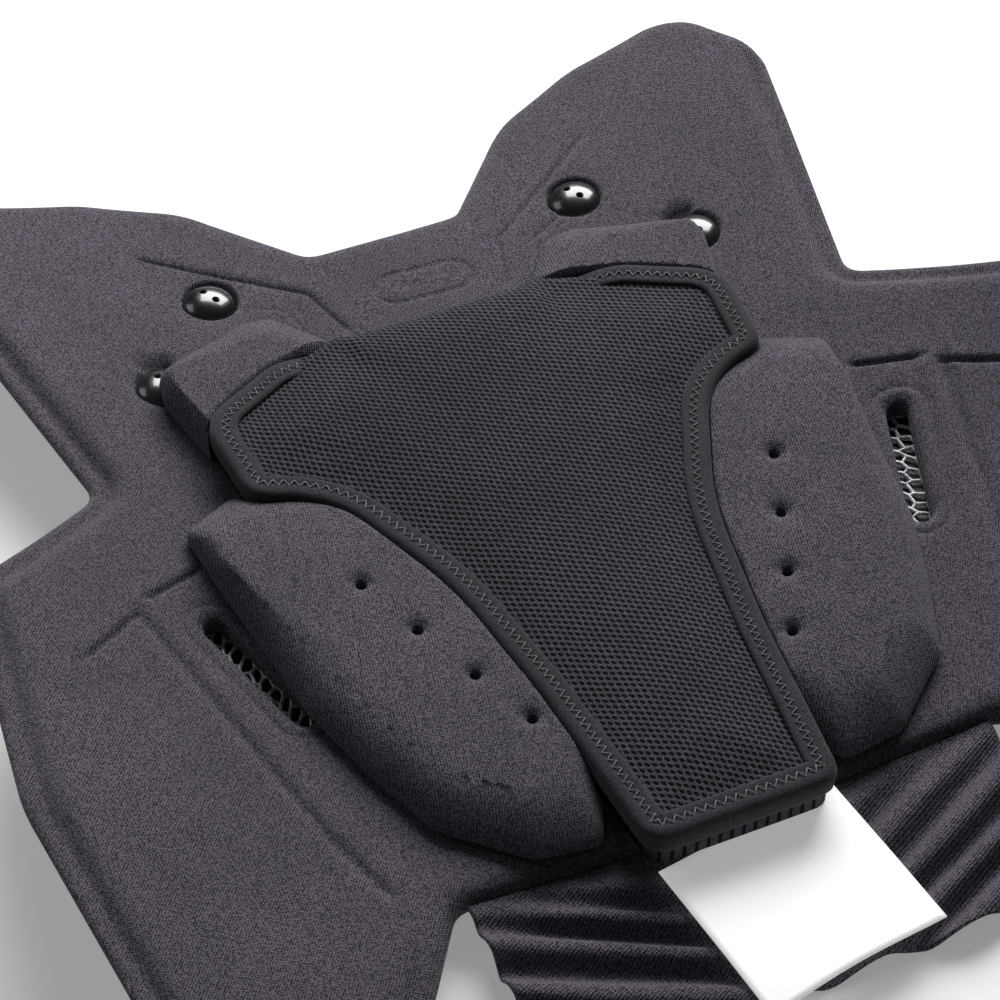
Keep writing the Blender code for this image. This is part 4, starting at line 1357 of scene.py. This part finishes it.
def binding_route(inset, step):
    """Open line along the panel's edge from one end of the neck round to the other."""
    line = panel_outline(inset, step / 4)
    start = int(np.argmin(np.hypot(line[:, 0] - NECK_HALF, line[:, 1] + PANEL_TOP)))
    line = np.roll(line, -start, axis=0)
    if line[len(line) // 20, 0] < line[0, 0]:
        line = np.roll(line[::-1], 1, axis=0)
    end = int(np.argmin(np.hypot(line[:, 0] + NECK_HALF, line[:, 1] + PANEL_TOP)))
    return resampled(line[: end + 1], step, closed=False)


# Section of the binding from under its inner edge over the top and down its outer side:
# share of the width from the inner edge, and level below the crest in metres
BINDING_SECTION = (
    (0.00, -0.0016),
    (-0.02, -0.0009),
    (0.03, -0.0003),
    (0.14, 0.0000),
    (0.32, -0.0003),
    (0.40, -0.0006),
    (0.48, -0.0003),
    (0.62, 0.0000),
    (0.80, -0.0002),
    (0.92, -0.0007),
    (1.00, -0.0018),
    (1.03, -0.0034),
    (1.02, -0.0062),
    (0.96, -0.0078),
    (0.80, -0.0078),
    (0.78, -0.0030),
)


def binding_frames(step):
    """Places along the binding, with the direction out of the panel at each."""
    middle = binding_route(BINDING_WIDTH / 2, step)
    ahead = np.gradient(middle, axis=0)
    ahead /= np.linalg.norm(ahead, axis=1)[:, None]
    out = np.column_stack((ahead[:, 1], -ahead[:, 0]))
    outside = inside(middle + out * BINDING_WIDTH, panel_outline(0))
    if outside.mean() > 0.5:
        out = -out
    return middle, ahead, out


def binding_crest(middle):
    """Level of the binding's top along its route, falling to the liner at the neck's ends."""
    at = np.r_[0, np.cumsum(np.linalg.norm(np.diff(middle, axis=0), axis=1))]
    ends = np.minimum(at, at[-1] - at)
    fall = 1 - smooth(ends, 0, 0.030)
    return BINDING_LEVEL - 0.0075 * fall + 0.0003 * rough(middle, 0.02, 5)


def build_binding():
    middle, _, out = binding_frames(EDGE_STEP)
    crest = binding_crest(middle)
    rows = []
    for share, drop in BINDING_SECTION:
        spot = middle + out * (share - 0.5) * BINDING_WIDTH
        level = np.maximum(crest + drop, CLEARANCE)
        rows.append(lifted(warped(np.column_stack((spot, level)))))
    bm = bmesh.new()
    verts = [[bm.verts.new(p) for p in row] for row in rows]
    count = len(verts)
    for k in range(count):
        first, second = verts[k], verts[(k + 1) % count]
        for j in range(len(middle) - 1):
            bm.faces.new((first[j], first[j + 1], second[j + 1], second[j]))
    bm.faces.new([row[0] for row in verts])
    bm.faces.new([row[-1] for row in reversed(verts)])
    outward(bm)
    obj = mesh_object("binding_band", bm)
    finished(obj, FINISHES.get("binding_tape"), "binding_tape", "panel_binding")


# Stitches, made by Geometry Nodes on points that carry the seam's direction


def geometry_tree(name, inputs):
    tree = bpy.data.node_groups.new(name, "GeometryNodeTree")
    tree.interface.new_socket("Geometry", in_out="INPUT", socket_type="NodeSocketGeometry")
    for socket, kind in inputs:
        tree.interface.new_socket(socket, in_out="INPUT", socket_type=kind)
    tree.interface.new_socket("Geometry", in_out="OUTPUT", socket_type="NodeSocketGeometry")
    return tree


def run_tree(obj, tree, values):
    """Runs a tree on an object with its named inputs set, and leaves a plain mesh."""
    modifier = obj.modifiers.new(tree.name, "NODES")
    modifier.node_group = tree
    for item in tree.interface.items_tree:
        if item.item_type == "SOCKET" and item.in_out == "INPUT" and item.name in values:
            modifier[item.identifier] = values[item.name]
    evaluated_copy(obj)
    obj.data.shade_smooth()
    return obj


def stitch_tree():
    tree = geometry_tree(
        "Zigzag stitches",
        (
            ("Stitch Length", FLOAT),
            ("Thread Radius", FLOAT),
            ("Lean", FLOAT),
            ("Material", "NodeSocketMaterial"),
        ),
    )
    w = Wiring(tree)
    given = w.node("NodeGroupInput").outputs
    bar = w.node("GeometryNodeCurvePrimitiveBezierSegment")
    bar.inputs["Resolution"].default_value = 5
    half = w.math("MULTIPLY", given["Stitch Length"], 0.5)
    sag = w.math("MULTIPLY", given["Thread Radius"], -0.9)
    rise = w.math("MULTIPLY", given["Thread Radius"], 0.9)
    for socket, across, up in (
        ("Start", w.math("MULTIPLY", half, -1.0), sag),
        ("Start Handle", w.math("MULTIPLY", half, -0.5), rise),
        ("End Handle", w.math("MULTIPLY", half, 0.5), rise),
        ("End", half, sag),
    ):
        place = w.node("ShaderNodeCombineXYZ")
        w.put(place.inputs[0], across)
        w.put(place.inputs[2], up)
        w.put(bar.inputs[socket], place.outputs[0])
    section = w.node("GeometryNodeCurvePrimitiveCircle")
    section.inputs["Resolution"].default_value = 6
    w.put(section.inputs["Radius"], given["Thread Radius"])
    tube = w.node("GeometryNodeCurveToMesh")
    w.put(tube.inputs["Curve"], bar.outputs[0])
    w.put(tube.inputs["Profile Curve"], section.outputs["Curve"])
    tube.inputs["Fill Caps"].default_value = True
    ahead = w.node("GeometryNodeInputNamedAttribute", data_type="FLOAT_VECTOR")
    ahead.inputs["Name"].default_value = "ahead"
    up = w.node("GeometryNodeInputNamedAttribute", data_type="FLOAT_VECTOR")
    up.inputs["Name"].default_value = "up"
    turn = w.node("FunctionNodeAlignRotationToVector", axis="Z")
    w.put(turn.inputs["Vector"], up.outputs["Attribute"])
    along = w.node("FunctionNodeAlignRotationToVector", axis="X", pivot_axis="Z")
    w.put(along.inputs["Rotation"], turn.outputs[0])
    w.put(along.inputs["Vector"], ahead.outputs["Attribute"])
    index = w.node("GeometryNodeInputIndex")
    odd = w.math("MODULO", index.outputs[0], 2.0)
    sign = w.math("MULTIPLY_ADD", odd, 2.0, -1.0)
    lean = w.node("FunctionNodeAxisAngleToRotation")
    lean.inputs["Axis"].default_value = (0, 0, 1)
    w.put(lean.inputs["Angle"], w.math("MULTIPLY", given["Lean"], sign))
    leaning = w.node("FunctionNodeRotateRotation", rotation_space="LOCAL")
    w.put(leaning.inputs["Rotation"], along.outputs[0])
    w.put(leaning.inputs["Rotate By"], lean.outputs[0])
    copies = w.node("GeometryNodeInstanceOnPoints")
    w.put(copies.inputs["Points"], given["Geometry"])
    w.put(copies.inputs["Instance"], tube.outputs["Mesh"])
    w.put(copies.inputs["Rotation"], leaning.outputs[0])
    real = w.node("GeometryNodeRealizeInstances")
    w.put(real.inputs[0], copies.outputs[0])
    paint = w.node("GeometryNodeSetMaterial")
    w.put(paint.inputs["Geometry"], real.outputs[0])
    w.put(paint.inputs["Material"], given["Material"])
    w.put(w.node("NodeGroupOutput").inputs[0], paint.outputs[0])
    return tree


def surface_frames(line, level):
    """Frame places of a plan line at a level, with the surface's direction up at each."""
    reach = 0.0005
    here = lifted(warped(np.column_stack((line, level))))
    right = lifted(warped(np.column_stack((line + (reach, 0), level))))
    back = lifted(warped(np.column_stack((line + (0, reach), level))))
    up = np.cross(right - here, back - here)
    up /= np.linalg.norm(up, axis=1)[:, None]
    ahead = np.gradient(here, axis=0)
    ahead /= np.linalg.norm(ahead, axis=1)[:, None]
    return here, ahead, up


def point_object(name, places, ahead, up):
    mesh = bpy.data.meshes.new(name)
    mesh.from_pydata([tuple(p) for p in places], [], [])
    for label, values in (("ahead", ahead), ("up", up)):
        attribute = mesh.attributes.new(label, "FLOAT_VECTOR", "POINT")
        attribute.data.foreach_set("vector", np.asarray(values, np.float32).ravel())
    obj = bpy.data.objects.new(name, mesh)
    bpy.context.scene.collection.objects.link(obj)
    return obj


def build_stitches():
    """Zigzag rows that hold the binding to the mesh."""
    options = bpy.context.scene.protector_sewing
    middle, _, out = binding_frames(options.stitch_pitch / 2)
    line = middle - out * 0.08 * BINDING_WIDTH
    level = binding_crest(middle) - 0.0002
    places, ahead, up = surface_frames(line, level)
    obj = point_object("zigzag_stitches", places + up * options.thread_radius, ahead, up)
    values = {
        "Stitch Length": options.stitch_length,
        "Thread Radius": options.thread_radius,
        "Lean": options.stitch_lean,
        "Material": FINISHES.get("thread"),
    }
    run_tree(obj, stitch_tree(), values)
    finished(obj, FINISHES.get("thread"), "binding_tape")


# Bolts


def bolt_matrix(side, place):
    """Where a bolt stands on the liner, square to the curve of the chest there."""
    reach = BOLT_HEAD / 2
    across = side * place.across
    along = BOLT_ADVANCE - place.along
    low, high = chest_height(np.array([(across - reach, along), (across + reach, along)]))
    lean = math.atan2(high - low, 2 * reach)
    spot = Matrix.Translation(Vector((across, along, (low + high) / 2)) + Vector(ORIGIN))
    return spot @ Matrix.Rotation(-lean, 4, "Y")


def turned(name, profile, sides):
    """Solid turned about z from a profile that runs down its outer side."""
    bm = bmesh.new()
    verts = [bm.verts.new((radius, 0, level)) for radius, level in profile]
    edges = [bm.edges.new(pair) for pair in zip(verts, verts[1:])]
    bmesh.ops.spin(
        bm,
        geom=verts + edges,
        axis=(0, 0, 1),
        cent=(0, 0, 0),
        steps=sides,
        angle=2 * math.pi,
        use_duplicate=False,
    )
    outward(bm)
    return mesh_object(name, bm)


def placed(obj, matrix):
    obj.data.transform(matrix)
    return obj


def bolt_room(side, place):
    """Cutter round a bolt's head, up to a clearance over its dome."""
    radius = BOLT_HEAD / 2 + CLEARANCE
    height = BOLT_DOME + CLEARANCE - BOLT_SINK
    profile = [(0, height)]
    for angle in range(10, 91, 10):
        profile.append((radius * math.sin(math.radians(angle)), height * math.cos(math.radians(angle))))
    profile += [(radius, -0.006), (0, -0.006)]
    return placed(turned("bolt_room", profile, ROUND_SIDES), bolt_matrix(side, place))


def build_bolts():
    head = CLEARANCE - BOLT_RECESS - BOLT_SINK
    washer_top = -LINER_THICKNESS - CLEARANCE - SHELL_THICKNESS - CLEARANCE - WASHER_SETTLE
    radius = BOLT_HEAD / 2
    dome = [(0, head + BOLT_DOME)]
    for angle in range(5, 90, 5):
        turn = math.radians(angle)
        dome.append((radius * math.sin(turn), head + 0.0006 + (BOLT_DOME - 0.0006) * math.cos(turn)))
    profile = dome + [
        (radius, head + 0.0004),
        (radius - 0.0004, head),
        (BOLT_SHANK / 2, head),
        (BOLT_SHANK / 2, washer_top),
        (BOLT_WASHER / 2, washer_top),
        (BOLT_WASHER / 2, washer_top - BOLT_WASHER_THICKNESS),
        (0, washer_top - BOLT_WASHER_THICKNESS),
    ]
    for kind, place in BOLT_PLACES.items():
        for word, side in (("left", -1), ("right", 1)):
            name = kind + "_" + word
            bolt = turned("dressed_" + name, profile, ROUND_SIDES)
            for across in (-1, 1):
                mouth = head + BOLT_DOME
                hole = [
                    (0, mouth + 0.002),
                    (SPANNER_HOLE * 0.72, mouth + 0.002),
                    (SPANNER_HOLE * 0.72, mouth - 0.0006),
                    (SPANNER_HOLE / 2, mouth - 0.0010),
                    (SPANNER_HOLE / 2, mouth - SPANNER_DEPTH),
                    (0, mouth - SPANNER_DEPTH),
                ]
                cutter = turned("spanner_hole", hole, 20)
                turn = Matrix.Rotation(math.radians(-62), 4, "Z")
                placed(cutter, turn @ Matrix.Translation((across * SPANNER_SPACING / 2, 0, 0)))
                subtract(bolt, cutter)
            placed(bolt, bolt_matrix(side, place))
            bolt.data.shade_smooth()
            bolt.data.set_sharp_from_angle(angle=math.radians(42))
            finished(bolt, FINISHES.get("gloss"), "bolt_gloss", name)


# Shell and grilles


def grille_room(growth, side):
    """Outline round a grille, larger than it by the growth."""
    return slot_ring(GRILLE_WIDTH + growth, GRILLE_LENGTH + growth, side)


def build_shell():
    """Smooth moulded shell with its raised panel, under the liner."""
    top = -LINER_THICKNESS - CLEARANCE
    under = top - SHELL_THICKNESS
    line = plate_outline(SHELL_INSET)
    holes = shank_holes()
    pockets = [grille_room(4 * CLEARANCE, side) for side in (-1, 1)]
    walls = [grille_room(2 * CLEARANCE, side) for side in (-1, 1)]
    bm = bmesh.new()
    half = [
        (REST_PANEL_HALF_WIDTH, REST_PANEL_TOP, REST_PANEL_ROUND),
        (REST_PANEL_HALF_WIDTH, REST_PANEL_TOP - REST_PANEL_LENGTH, REST_PANEL_ROUND),
    ]
    rest = resampled(rounded(mirrored(half)), EDGE_STEP)
    keep = [(plate_outline(SHELL_INSET + inset), True) for inset in (0.0005, SHELL_EDGE, 0.003)]
    for inset in (0, -REST_STEP):
        corners = moved_corners(mirrored(half), inset)
        keep.append((resampled(rounded(corners), EDGE_STEP), True))
    keep += [(ring, True) for ring in pockets]
    keep = thinned(keep, line, holes) + [(ring, True) for ring in walls]
    fill = packed_points(line, 0.005, keep + [(p, True) for p in holes], 0.0028)
    spots, faces = filled(line, holes, np.vstack((*[p for p, _ in keep], fill)))
    edge = distance_to(spots, line)
    round_over = SHELL_EDGE * (1 - np.sqrt(np.clip(1 - (1 - np.clip(edge / SHELL_EDGE, 0, 1)) ** 2, 0, 1)))
    sunk = np.zeros(len(spots), bool)
    for pocket in pockets:
        sunk |= inside(spots, pocket) & (distance_to(spots, pocket) > CLEARANCE / 2)
    add_faces(bm, lifted(np.column_stack((spots, top - round_over - POCKET_DEPTH * sunk))), faces)
    face_up(bm)
    floor_level = under + round_over
    lower = lifted(np.column_stack((spots, floor_level)))
    gap = np.where(inside(spots, rest), 0, distance_to(spots, rest))
    share = 1 - smooth(gap, 0, REST_STEP)
    lower[:, 2] = lower[:, 2] * (1 - share)
    for loop in boundary_loops(bm):
        plan = np.array([tuple(v.co) for v in loop])[:, :2] - ORIGIN[:2]
        order = [int(np.argmin(np.hypot(*(spots - p).T))) for p in plan]
        wall_ring(bm, loop, lower[order])
    add_faces(bm, lower, [face[::-1] for face in faces])
    outward(bm)
    obj = mesh_object("moulded_shell", bm)
    obj.data.set_sharp_from_angle(angle=math.radians(50))
    finished(obj, FINISHES.get("shell_plastic"), "shell_plastic", "outer_shell")


def net_tree():
    """Honeycomb net: the dual of a grid, jittered by a fixed seed and swept with a round strand."""
    tree = geometry_tree(
        "Honeycomb net",
        (
            ("Width", FLOAT),
            ("Length", FLOAT),
            ("Cell Pitch", FLOAT),
            ("Strand Radius", FLOAT),
            ("Jitter", FLOAT),
            ("Seed", "NodeSocketInt"),
            ("Material", "NodeSocketMaterial"),
        ),
    )
    w = Wiring(tree)
    given = w.node("NodeGroupInput").outputs
    grid = w.node("GeometryNodeMeshGrid")
    w.put(grid.inputs["Size X"], given["Width"])
    w.put(grid.inputs["Size Y"], given["Length"])
    for size, count in (("Width", "Vertices X"), ("Length", "Vertices Y")):
        w.put(grid.inputs[count], w.math("ADD", w.math("DIVIDE", given[size], given["Cell Pitch"]), 1.0))
    cut = w.node("GeometryNodeTriangulate")
    w.put(cut.inputs[0], grid.outputs["Mesh"])
    dual = w.node("GeometryNodeDualMesh")
    w.put(dual.inputs["Mesh"], cut.outputs[0])
    dual.inputs["Keep Boundaries"].default_value = True
    low = w.node("ShaderNodeCombineXYZ")
    high = w.node("ShaderNodeCombineXYZ")
    for axis, share in ((0, 1.0), (1, 1.0), (2, 0.4)):
        reach = w.math("MULTIPLY", given["Jitter"], share)
        w.put(high.inputs[axis], reach)
        w.put(low.inputs[axis], w.math("MULTIPLY", reach, -1.0))
    shake = w.node("FunctionNodeRandomValue", data_type="FLOAT_VECTOR")
    w.put(shake.inputs["Min"], low.outputs[0])
    w.put(shake.inputs["Max"], high.outputs[0])
    w.put(shake.inputs["Seed"], given["Seed"])
    moved = w.node("GeometryNodeSetPosition")
    w.put(moved.inputs["Geometry"], dual.outputs[0])
    w.put(moved.inputs["Offset"], shake.outputs["Value"])
    lines = w.node("GeometryNodeMeshToCurve")
    w.put(lines.inputs["Mesh"], moved.outputs[0])
    section = w.node("GeometryNodeCurvePrimitiveCircle")
    section.inputs["Resolution"].default_value = 7
    w.put(section.inputs["Radius"], given["Strand Radius"])
    tube = w.node("GeometryNodeCurveToMesh")
    w.put(tube.inputs["Curve"], lines.outputs[0])
    w.put(tube.inputs["Profile Curve"], section.outputs["Curve"])
    tube.inputs["Fill Caps"].default_value = True
    real = w.node("GeometryNodeRealizeInstances")
    w.put(real.inputs[0], tube.outputs["Mesh"])
    paint = w.node("GeometryNodeSetMaterial")
    w.put(paint.inputs["Geometry"], real.outputs[0])
    w.put(paint.inputs["Material"], given["Material"])
    w.put(w.node("NodeGroupOutput").inputs[0], paint.outputs[0])
    return tree


def build_grilles():
    """Pale irregular honeycomb nets behind the liner's slots."""
    options = bpy.context.scene.protector_sewing
    for word, side in (("left", -1), ("right", 1)):
        obj = point_object("net_" + word, [(0, 0, 0)], [(1, 0, 0)], [(0, 0, 1)])
        values = {
            "Width": GRILLE_WIDTH - 2 * options.strand_radius,
            "Length": GRILLE_LENGTH - 2 * options.strand_radius,
            "Cell Pitch": options.cell_pitch,
            "Strand Radius": options.strand_radius,
            "Jitter": options.cell_pitch * 0.16,
            "Seed": 5 + side,
            "Material": FINISHES.get("strand"),
        }
        run_tree(obj, net_tree(), values)
        points = coords(obj)
        turn = np.array(Matrix.Rotation(-SLOT_LEAN, 2))
        placed = points[:, :2] @ turn.T + (SLOT_ACROSS, -SLOT_ALONG)
        placed *= (side, 1)
        level = points[:, 2] - LINER_THICKNESS - CLEARANCE - options.strand_radius
        set_coords(obj, lifted(np.column_stack((placed, level))))
        if side < 0:
            obj.data.flip_normals()
        finished(obj, FINISHES.get("strand"), "grille_strand", "vent_grille_" + word)


# Label and gusset


def grid_sheet(name, points, columns, rows, thickness):
    """Cloth of an even thickness through a grid of plan points, its upper face on them."""
    faces = []
    for j in range(rows):
        for k in range(columns):
            corner = j * (columns + 1) + k
            faces.append((corner, corner + 1, corner + columns + 2, corner + columns + 1))
    bm = bmesh.new()
    add_faces(bm, lifted(points), faces)
    face_up(bm)
    obj = mesh_object(name, bm)
    wall = obj.modifiers.new("Wall", "SOLIDIFY")
    wall.thickness = thickness
    wall.offset = -1
    return evaluated_copy(obj)


def build_label():
    top = -PANEL_TOP - PANEL_LENGTH + LABEL_TUCK
    columns, rows = 30, 28
    points = []
    for j in range(rows + 1):
        for k in range(columns + 1):
            across, down = k / columns - 0.5, j / rows
            spot = Matrix.Rotation(LABEL_TURN, 2) @ Vector((across * LABEL_WIDTH, -down * LABEL_LENGTH))
            curl = 0.0016 * smooth(np.array(down), 0.5, 1.0) * (0.5 + math.cos(across * 5))
            level = -LABEL_FALL * down + curl
            points.append((spot.x, top + spot.y, level))
    obj = grid_sheet("blank_label", points, columns, rows, 0.0004)
    finished(obj, FINISHES.get("satin"), "label_satin", "label")


def gusset_fold(across, down):
    """Level and run of the gathered folds at a place on the gusset."""
    along = (-down * math.cos(FOLD_SLANT) - abs(across) * math.sin(FOLD_SLANT)) / FOLD_PITCH
    swell = min(1.0, down / (GUSSET_LENGTH * 0.25))
    return swell, along


def build_gusset():
    columns, rows = 120, 110
    points = []
    for j in range(rows + 1):
        for k in range(columns + 1):
            across = (2 * k / columns - 1) * GUSSET_HALF_WIDTH
            down = j / rows * GUSSET_LENGTH
            swell, along = gusset_fold(across, down)
            wave = math.sin(2 * math.pi * along + 0.6 * math.sin(along * 1.7 + across * 30))
            crest = 1 - (1 - wave) ** 1.4 / 1.3
            level = -0.0047 + swell * FOLD_DEPTH * crest - LABEL_FALL * down / GUSSET_LENGTH
            points.append((across, BELLY_EDGE - 2 * CLEARANCE - down, level))
    obj = grid_sheet("gathered_gusset", points, columns, rows, 0.0012)
    finished(obj, FINISHES.get("gusset_jersey"), "jersey", "lower_gusset")


# Stage


def aimed(obj, place, target):
    obj.location = place
    obj.rotation_mode = "QUATERNION"
    obj.rotation_quaternion = (Vector(target) - Vector(place)).to_track_quat("-Z", "Y")


def add_light(name, place, target, size, power, tint=(1, 1, 1)):
    data = bpy.data.lights.new(name, "AREA")
    data.shape = "RECTANGLE"
    data.size, data.size_y = size
    data.energy = power
    data.color = tint
    obj = bpy.data.objects.new(name, data)
    bpy.context.scene.collection.objects.link(obj)
    aimed(obj, place, target)
    return obj


def build_stage():
    stage = bpy.context.scene.protector_stage
    bm = bmesh.new()
    bmesh.ops.create_grid(bm, x_segments=1, y_segments=1, size=3.0)
    floor = mesh_object("studio_floor", bm)
    floor.data.transform(Matrix.Translation((0, 1.0, 0)))
    floor.data.materials.append(FINISHES.get("floor"))
    middle = (0, 0, 0.03)
    add_light("key_softbox", (0.56, 0.90, 0.92), middle, (1.2, 0.9), stage.key_power, (1.0, 0.99, 0.97))
    add_light("left_softbox", (-0.95, 0.75, 0.70), middle, (0.7, 0.7), stage.fill_power, (0.96, 0.97, 1.0))
    world = bpy.data.worlds.new("studio_air")
    world.use_nodes = True
    world.node_tree.nodes["Background"].inputs["Color"].default_value = (1, 1, 1, 1)
    world.node_tree.nodes["Background"].inputs["Strength"].default_value = stage.air
    bpy.context.scene.world = world
    lens = bpy.data.cameras.new("camera")
    lens.lens = stage.focal_length
    lens.sensor_width = 36
    lens.dof.use_dof = False
    lens.clip_start = 0.01
    camera = bpy.data.objects.new("camera", lens)
    bpy.context.scene.collection.objects.link(camera)
    camera.location = CAMERA_PLACE
    camera.rotation_euler = CAMERA_TURN
    bpy.context.scene.camera = camera
    bpy.context.scene.view_settings.view_transform = "Standard"


# Settings, operators and panel


def colour(name, words, default):
    return FloatVectorProperty(
        name=name, description=words, default=default, subtype="COLOR", min=0, max=1
    )


def length(name, words, default, least):
    return FloatProperty(name=name, description=words, default=default, unit="LENGTH", min=least)


class ProtectorColours(PropertyGroup):
    """Colours of the cloths."""

    jersey: colour("Jersey", "Yarn of the liner and pads", (0.0120, 0.0102, 0.0135))
    # Paler yarn colour: painted highlight on the rib crests, and the yarn's random melange
    jersey_lit_speckle: colour("Jersey speckle", "Lit side of the yarn", (0.188, 0.165, 0.212))
    binding: colour("Binding", "Tape round the mesh", (0.024, 0.0208, 0.0268))
    mesh_thread: colour("Mesh thread", "Thread of the spacer mesh", (0.040, 0.039, 0.048))


class ProtectorSewing(PropertyGroup):
    """Sizes of the stitches and of the vents' nets."""

    stitch_pitch: length("Stitch pitch", "Length of one zigzag along the seam", 0.0033, 0.001)
    stitch_length: length("Stitch length", "Length of one bar of thread", 0.0030, 0.001)
    thread_radius: length("Thread radius", "Half the thread's thickness", 0.00022, 0.0001)
    cell_pitch: length("Net pitch", "Size of a cell of the vent's net", 0.0044, 0.002)
    strand_radius: length("Strand radius", "Half the net's strand", 0.00062, 0.0002)
    stitch_lean: FloatProperty(
        name="Stitch lean",
        description="Turn of each bar from the seam",
        default=math.radians(56),
        unit="ROTATION",
    )


class ProtectorStage(PropertyGroup):
    """Lights and lens."""

    key_power: FloatProperty(
        name="Key power", description="Softbox behind on the right", default=29, unit="POWER", min=0
    )
    fill_power: FloatProperty(
        name="Fill power", description="Softbox behind on the left", default=2, unit="POWER", min=0
    )
    air: FloatProperty(
        name="Air", description="Brightness of the surroundings", default=0.05, min=0
    )
    focal_length: FloatProperty(
        name="Focal length", description="Lens in millimetres", default=104.0, min=10
    )


def operator_class(label, words, build):
    """An operator that builds one group of pieces."""

    def execute(self, context):
        build()
        return {"FINISHED"}

    name = "PROTECTOR_OT_" + label
    members = {
        "__doc__": words,
        "bl_idname": "protector." + label,
        "bl_label": words,
        "bl_options": {"REGISTER", "UNDO"},
        "execute": execute,
    }
    return type(name, (Operator,), members)


STEPS = (
    ("stage", "Set the floor, lights and camera", build_stage),
    ("shell", "Build the moulded shell", build_shell),
    ("grilles", "Finish the vent grilles", build_grilles),
    ("liner", "Build the foam liner", build_liner),
    ("pads", "Build the four pads", build_pads),
    ("panel", "Build the padded mesh panel", build_panel),
    ("binding", "Build the binding", build_binding),
    ("stitches", "Sew the zigzag stitches", build_stitches),
    ("bolts", "Build the domed bolts", build_bolts),
    ("label", "Build the blank label", build_label),
    ("gusset", "Build the gathered gusset", build_gusset),
)
OPERATORS = [operator_class(*step) for step in STEPS]


class PROTECTOR_PT_build(Panel):
    """Lists the building steps in the sidebar."""

    bl_label = "Chest protector"
    bl_idname = "PROTECTOR_PT_build"
    bl_space_type = "VIEW_3D"
    bl_region_type = "UI"
    bl_category = "Protector"

    def draw(self, context):
        for settings in ("protector_colours", "protector_sewing", "protector_stage"):
            group = getattr(context.scene, settings)
            for name in group.__annotations__:
                self.layout.prop(group, name)
        for operator in OPERATORS:
            self.layout.operator(operator.bl_idname)


CLASSES = (ProtectorColours, ProtectorSewing, ProtectorStage, *OPERATORS, PROTECTOR_PT_build)


def register():
    for kind in CLASSES:
        bpy.utils.register_class(kind)
    bpy.types.Scene.protector_colours = PointerProperty(type=ProtectorColours)
    bpy.types.Scene.protector_sewing = PointerProperty(type=ProtectorSewing)
    bpy.types.Scene.protector_stage = PointerProperty(type=ProtectorStage)


def unregister():
    del bpy.types.Scene.protector_stage
    del bpy.types.Scene.protector_sewing
    del bpy.types.Scene.protector_colours
    for kind in reversed(CLASSES):
        bpy.utils.unregister_class(kind)


def main():
    register()
    for label, _, _ in STEPS:
        getattr(bpy.ops.protector, label)()


if __name__ == "__main__":
    main()
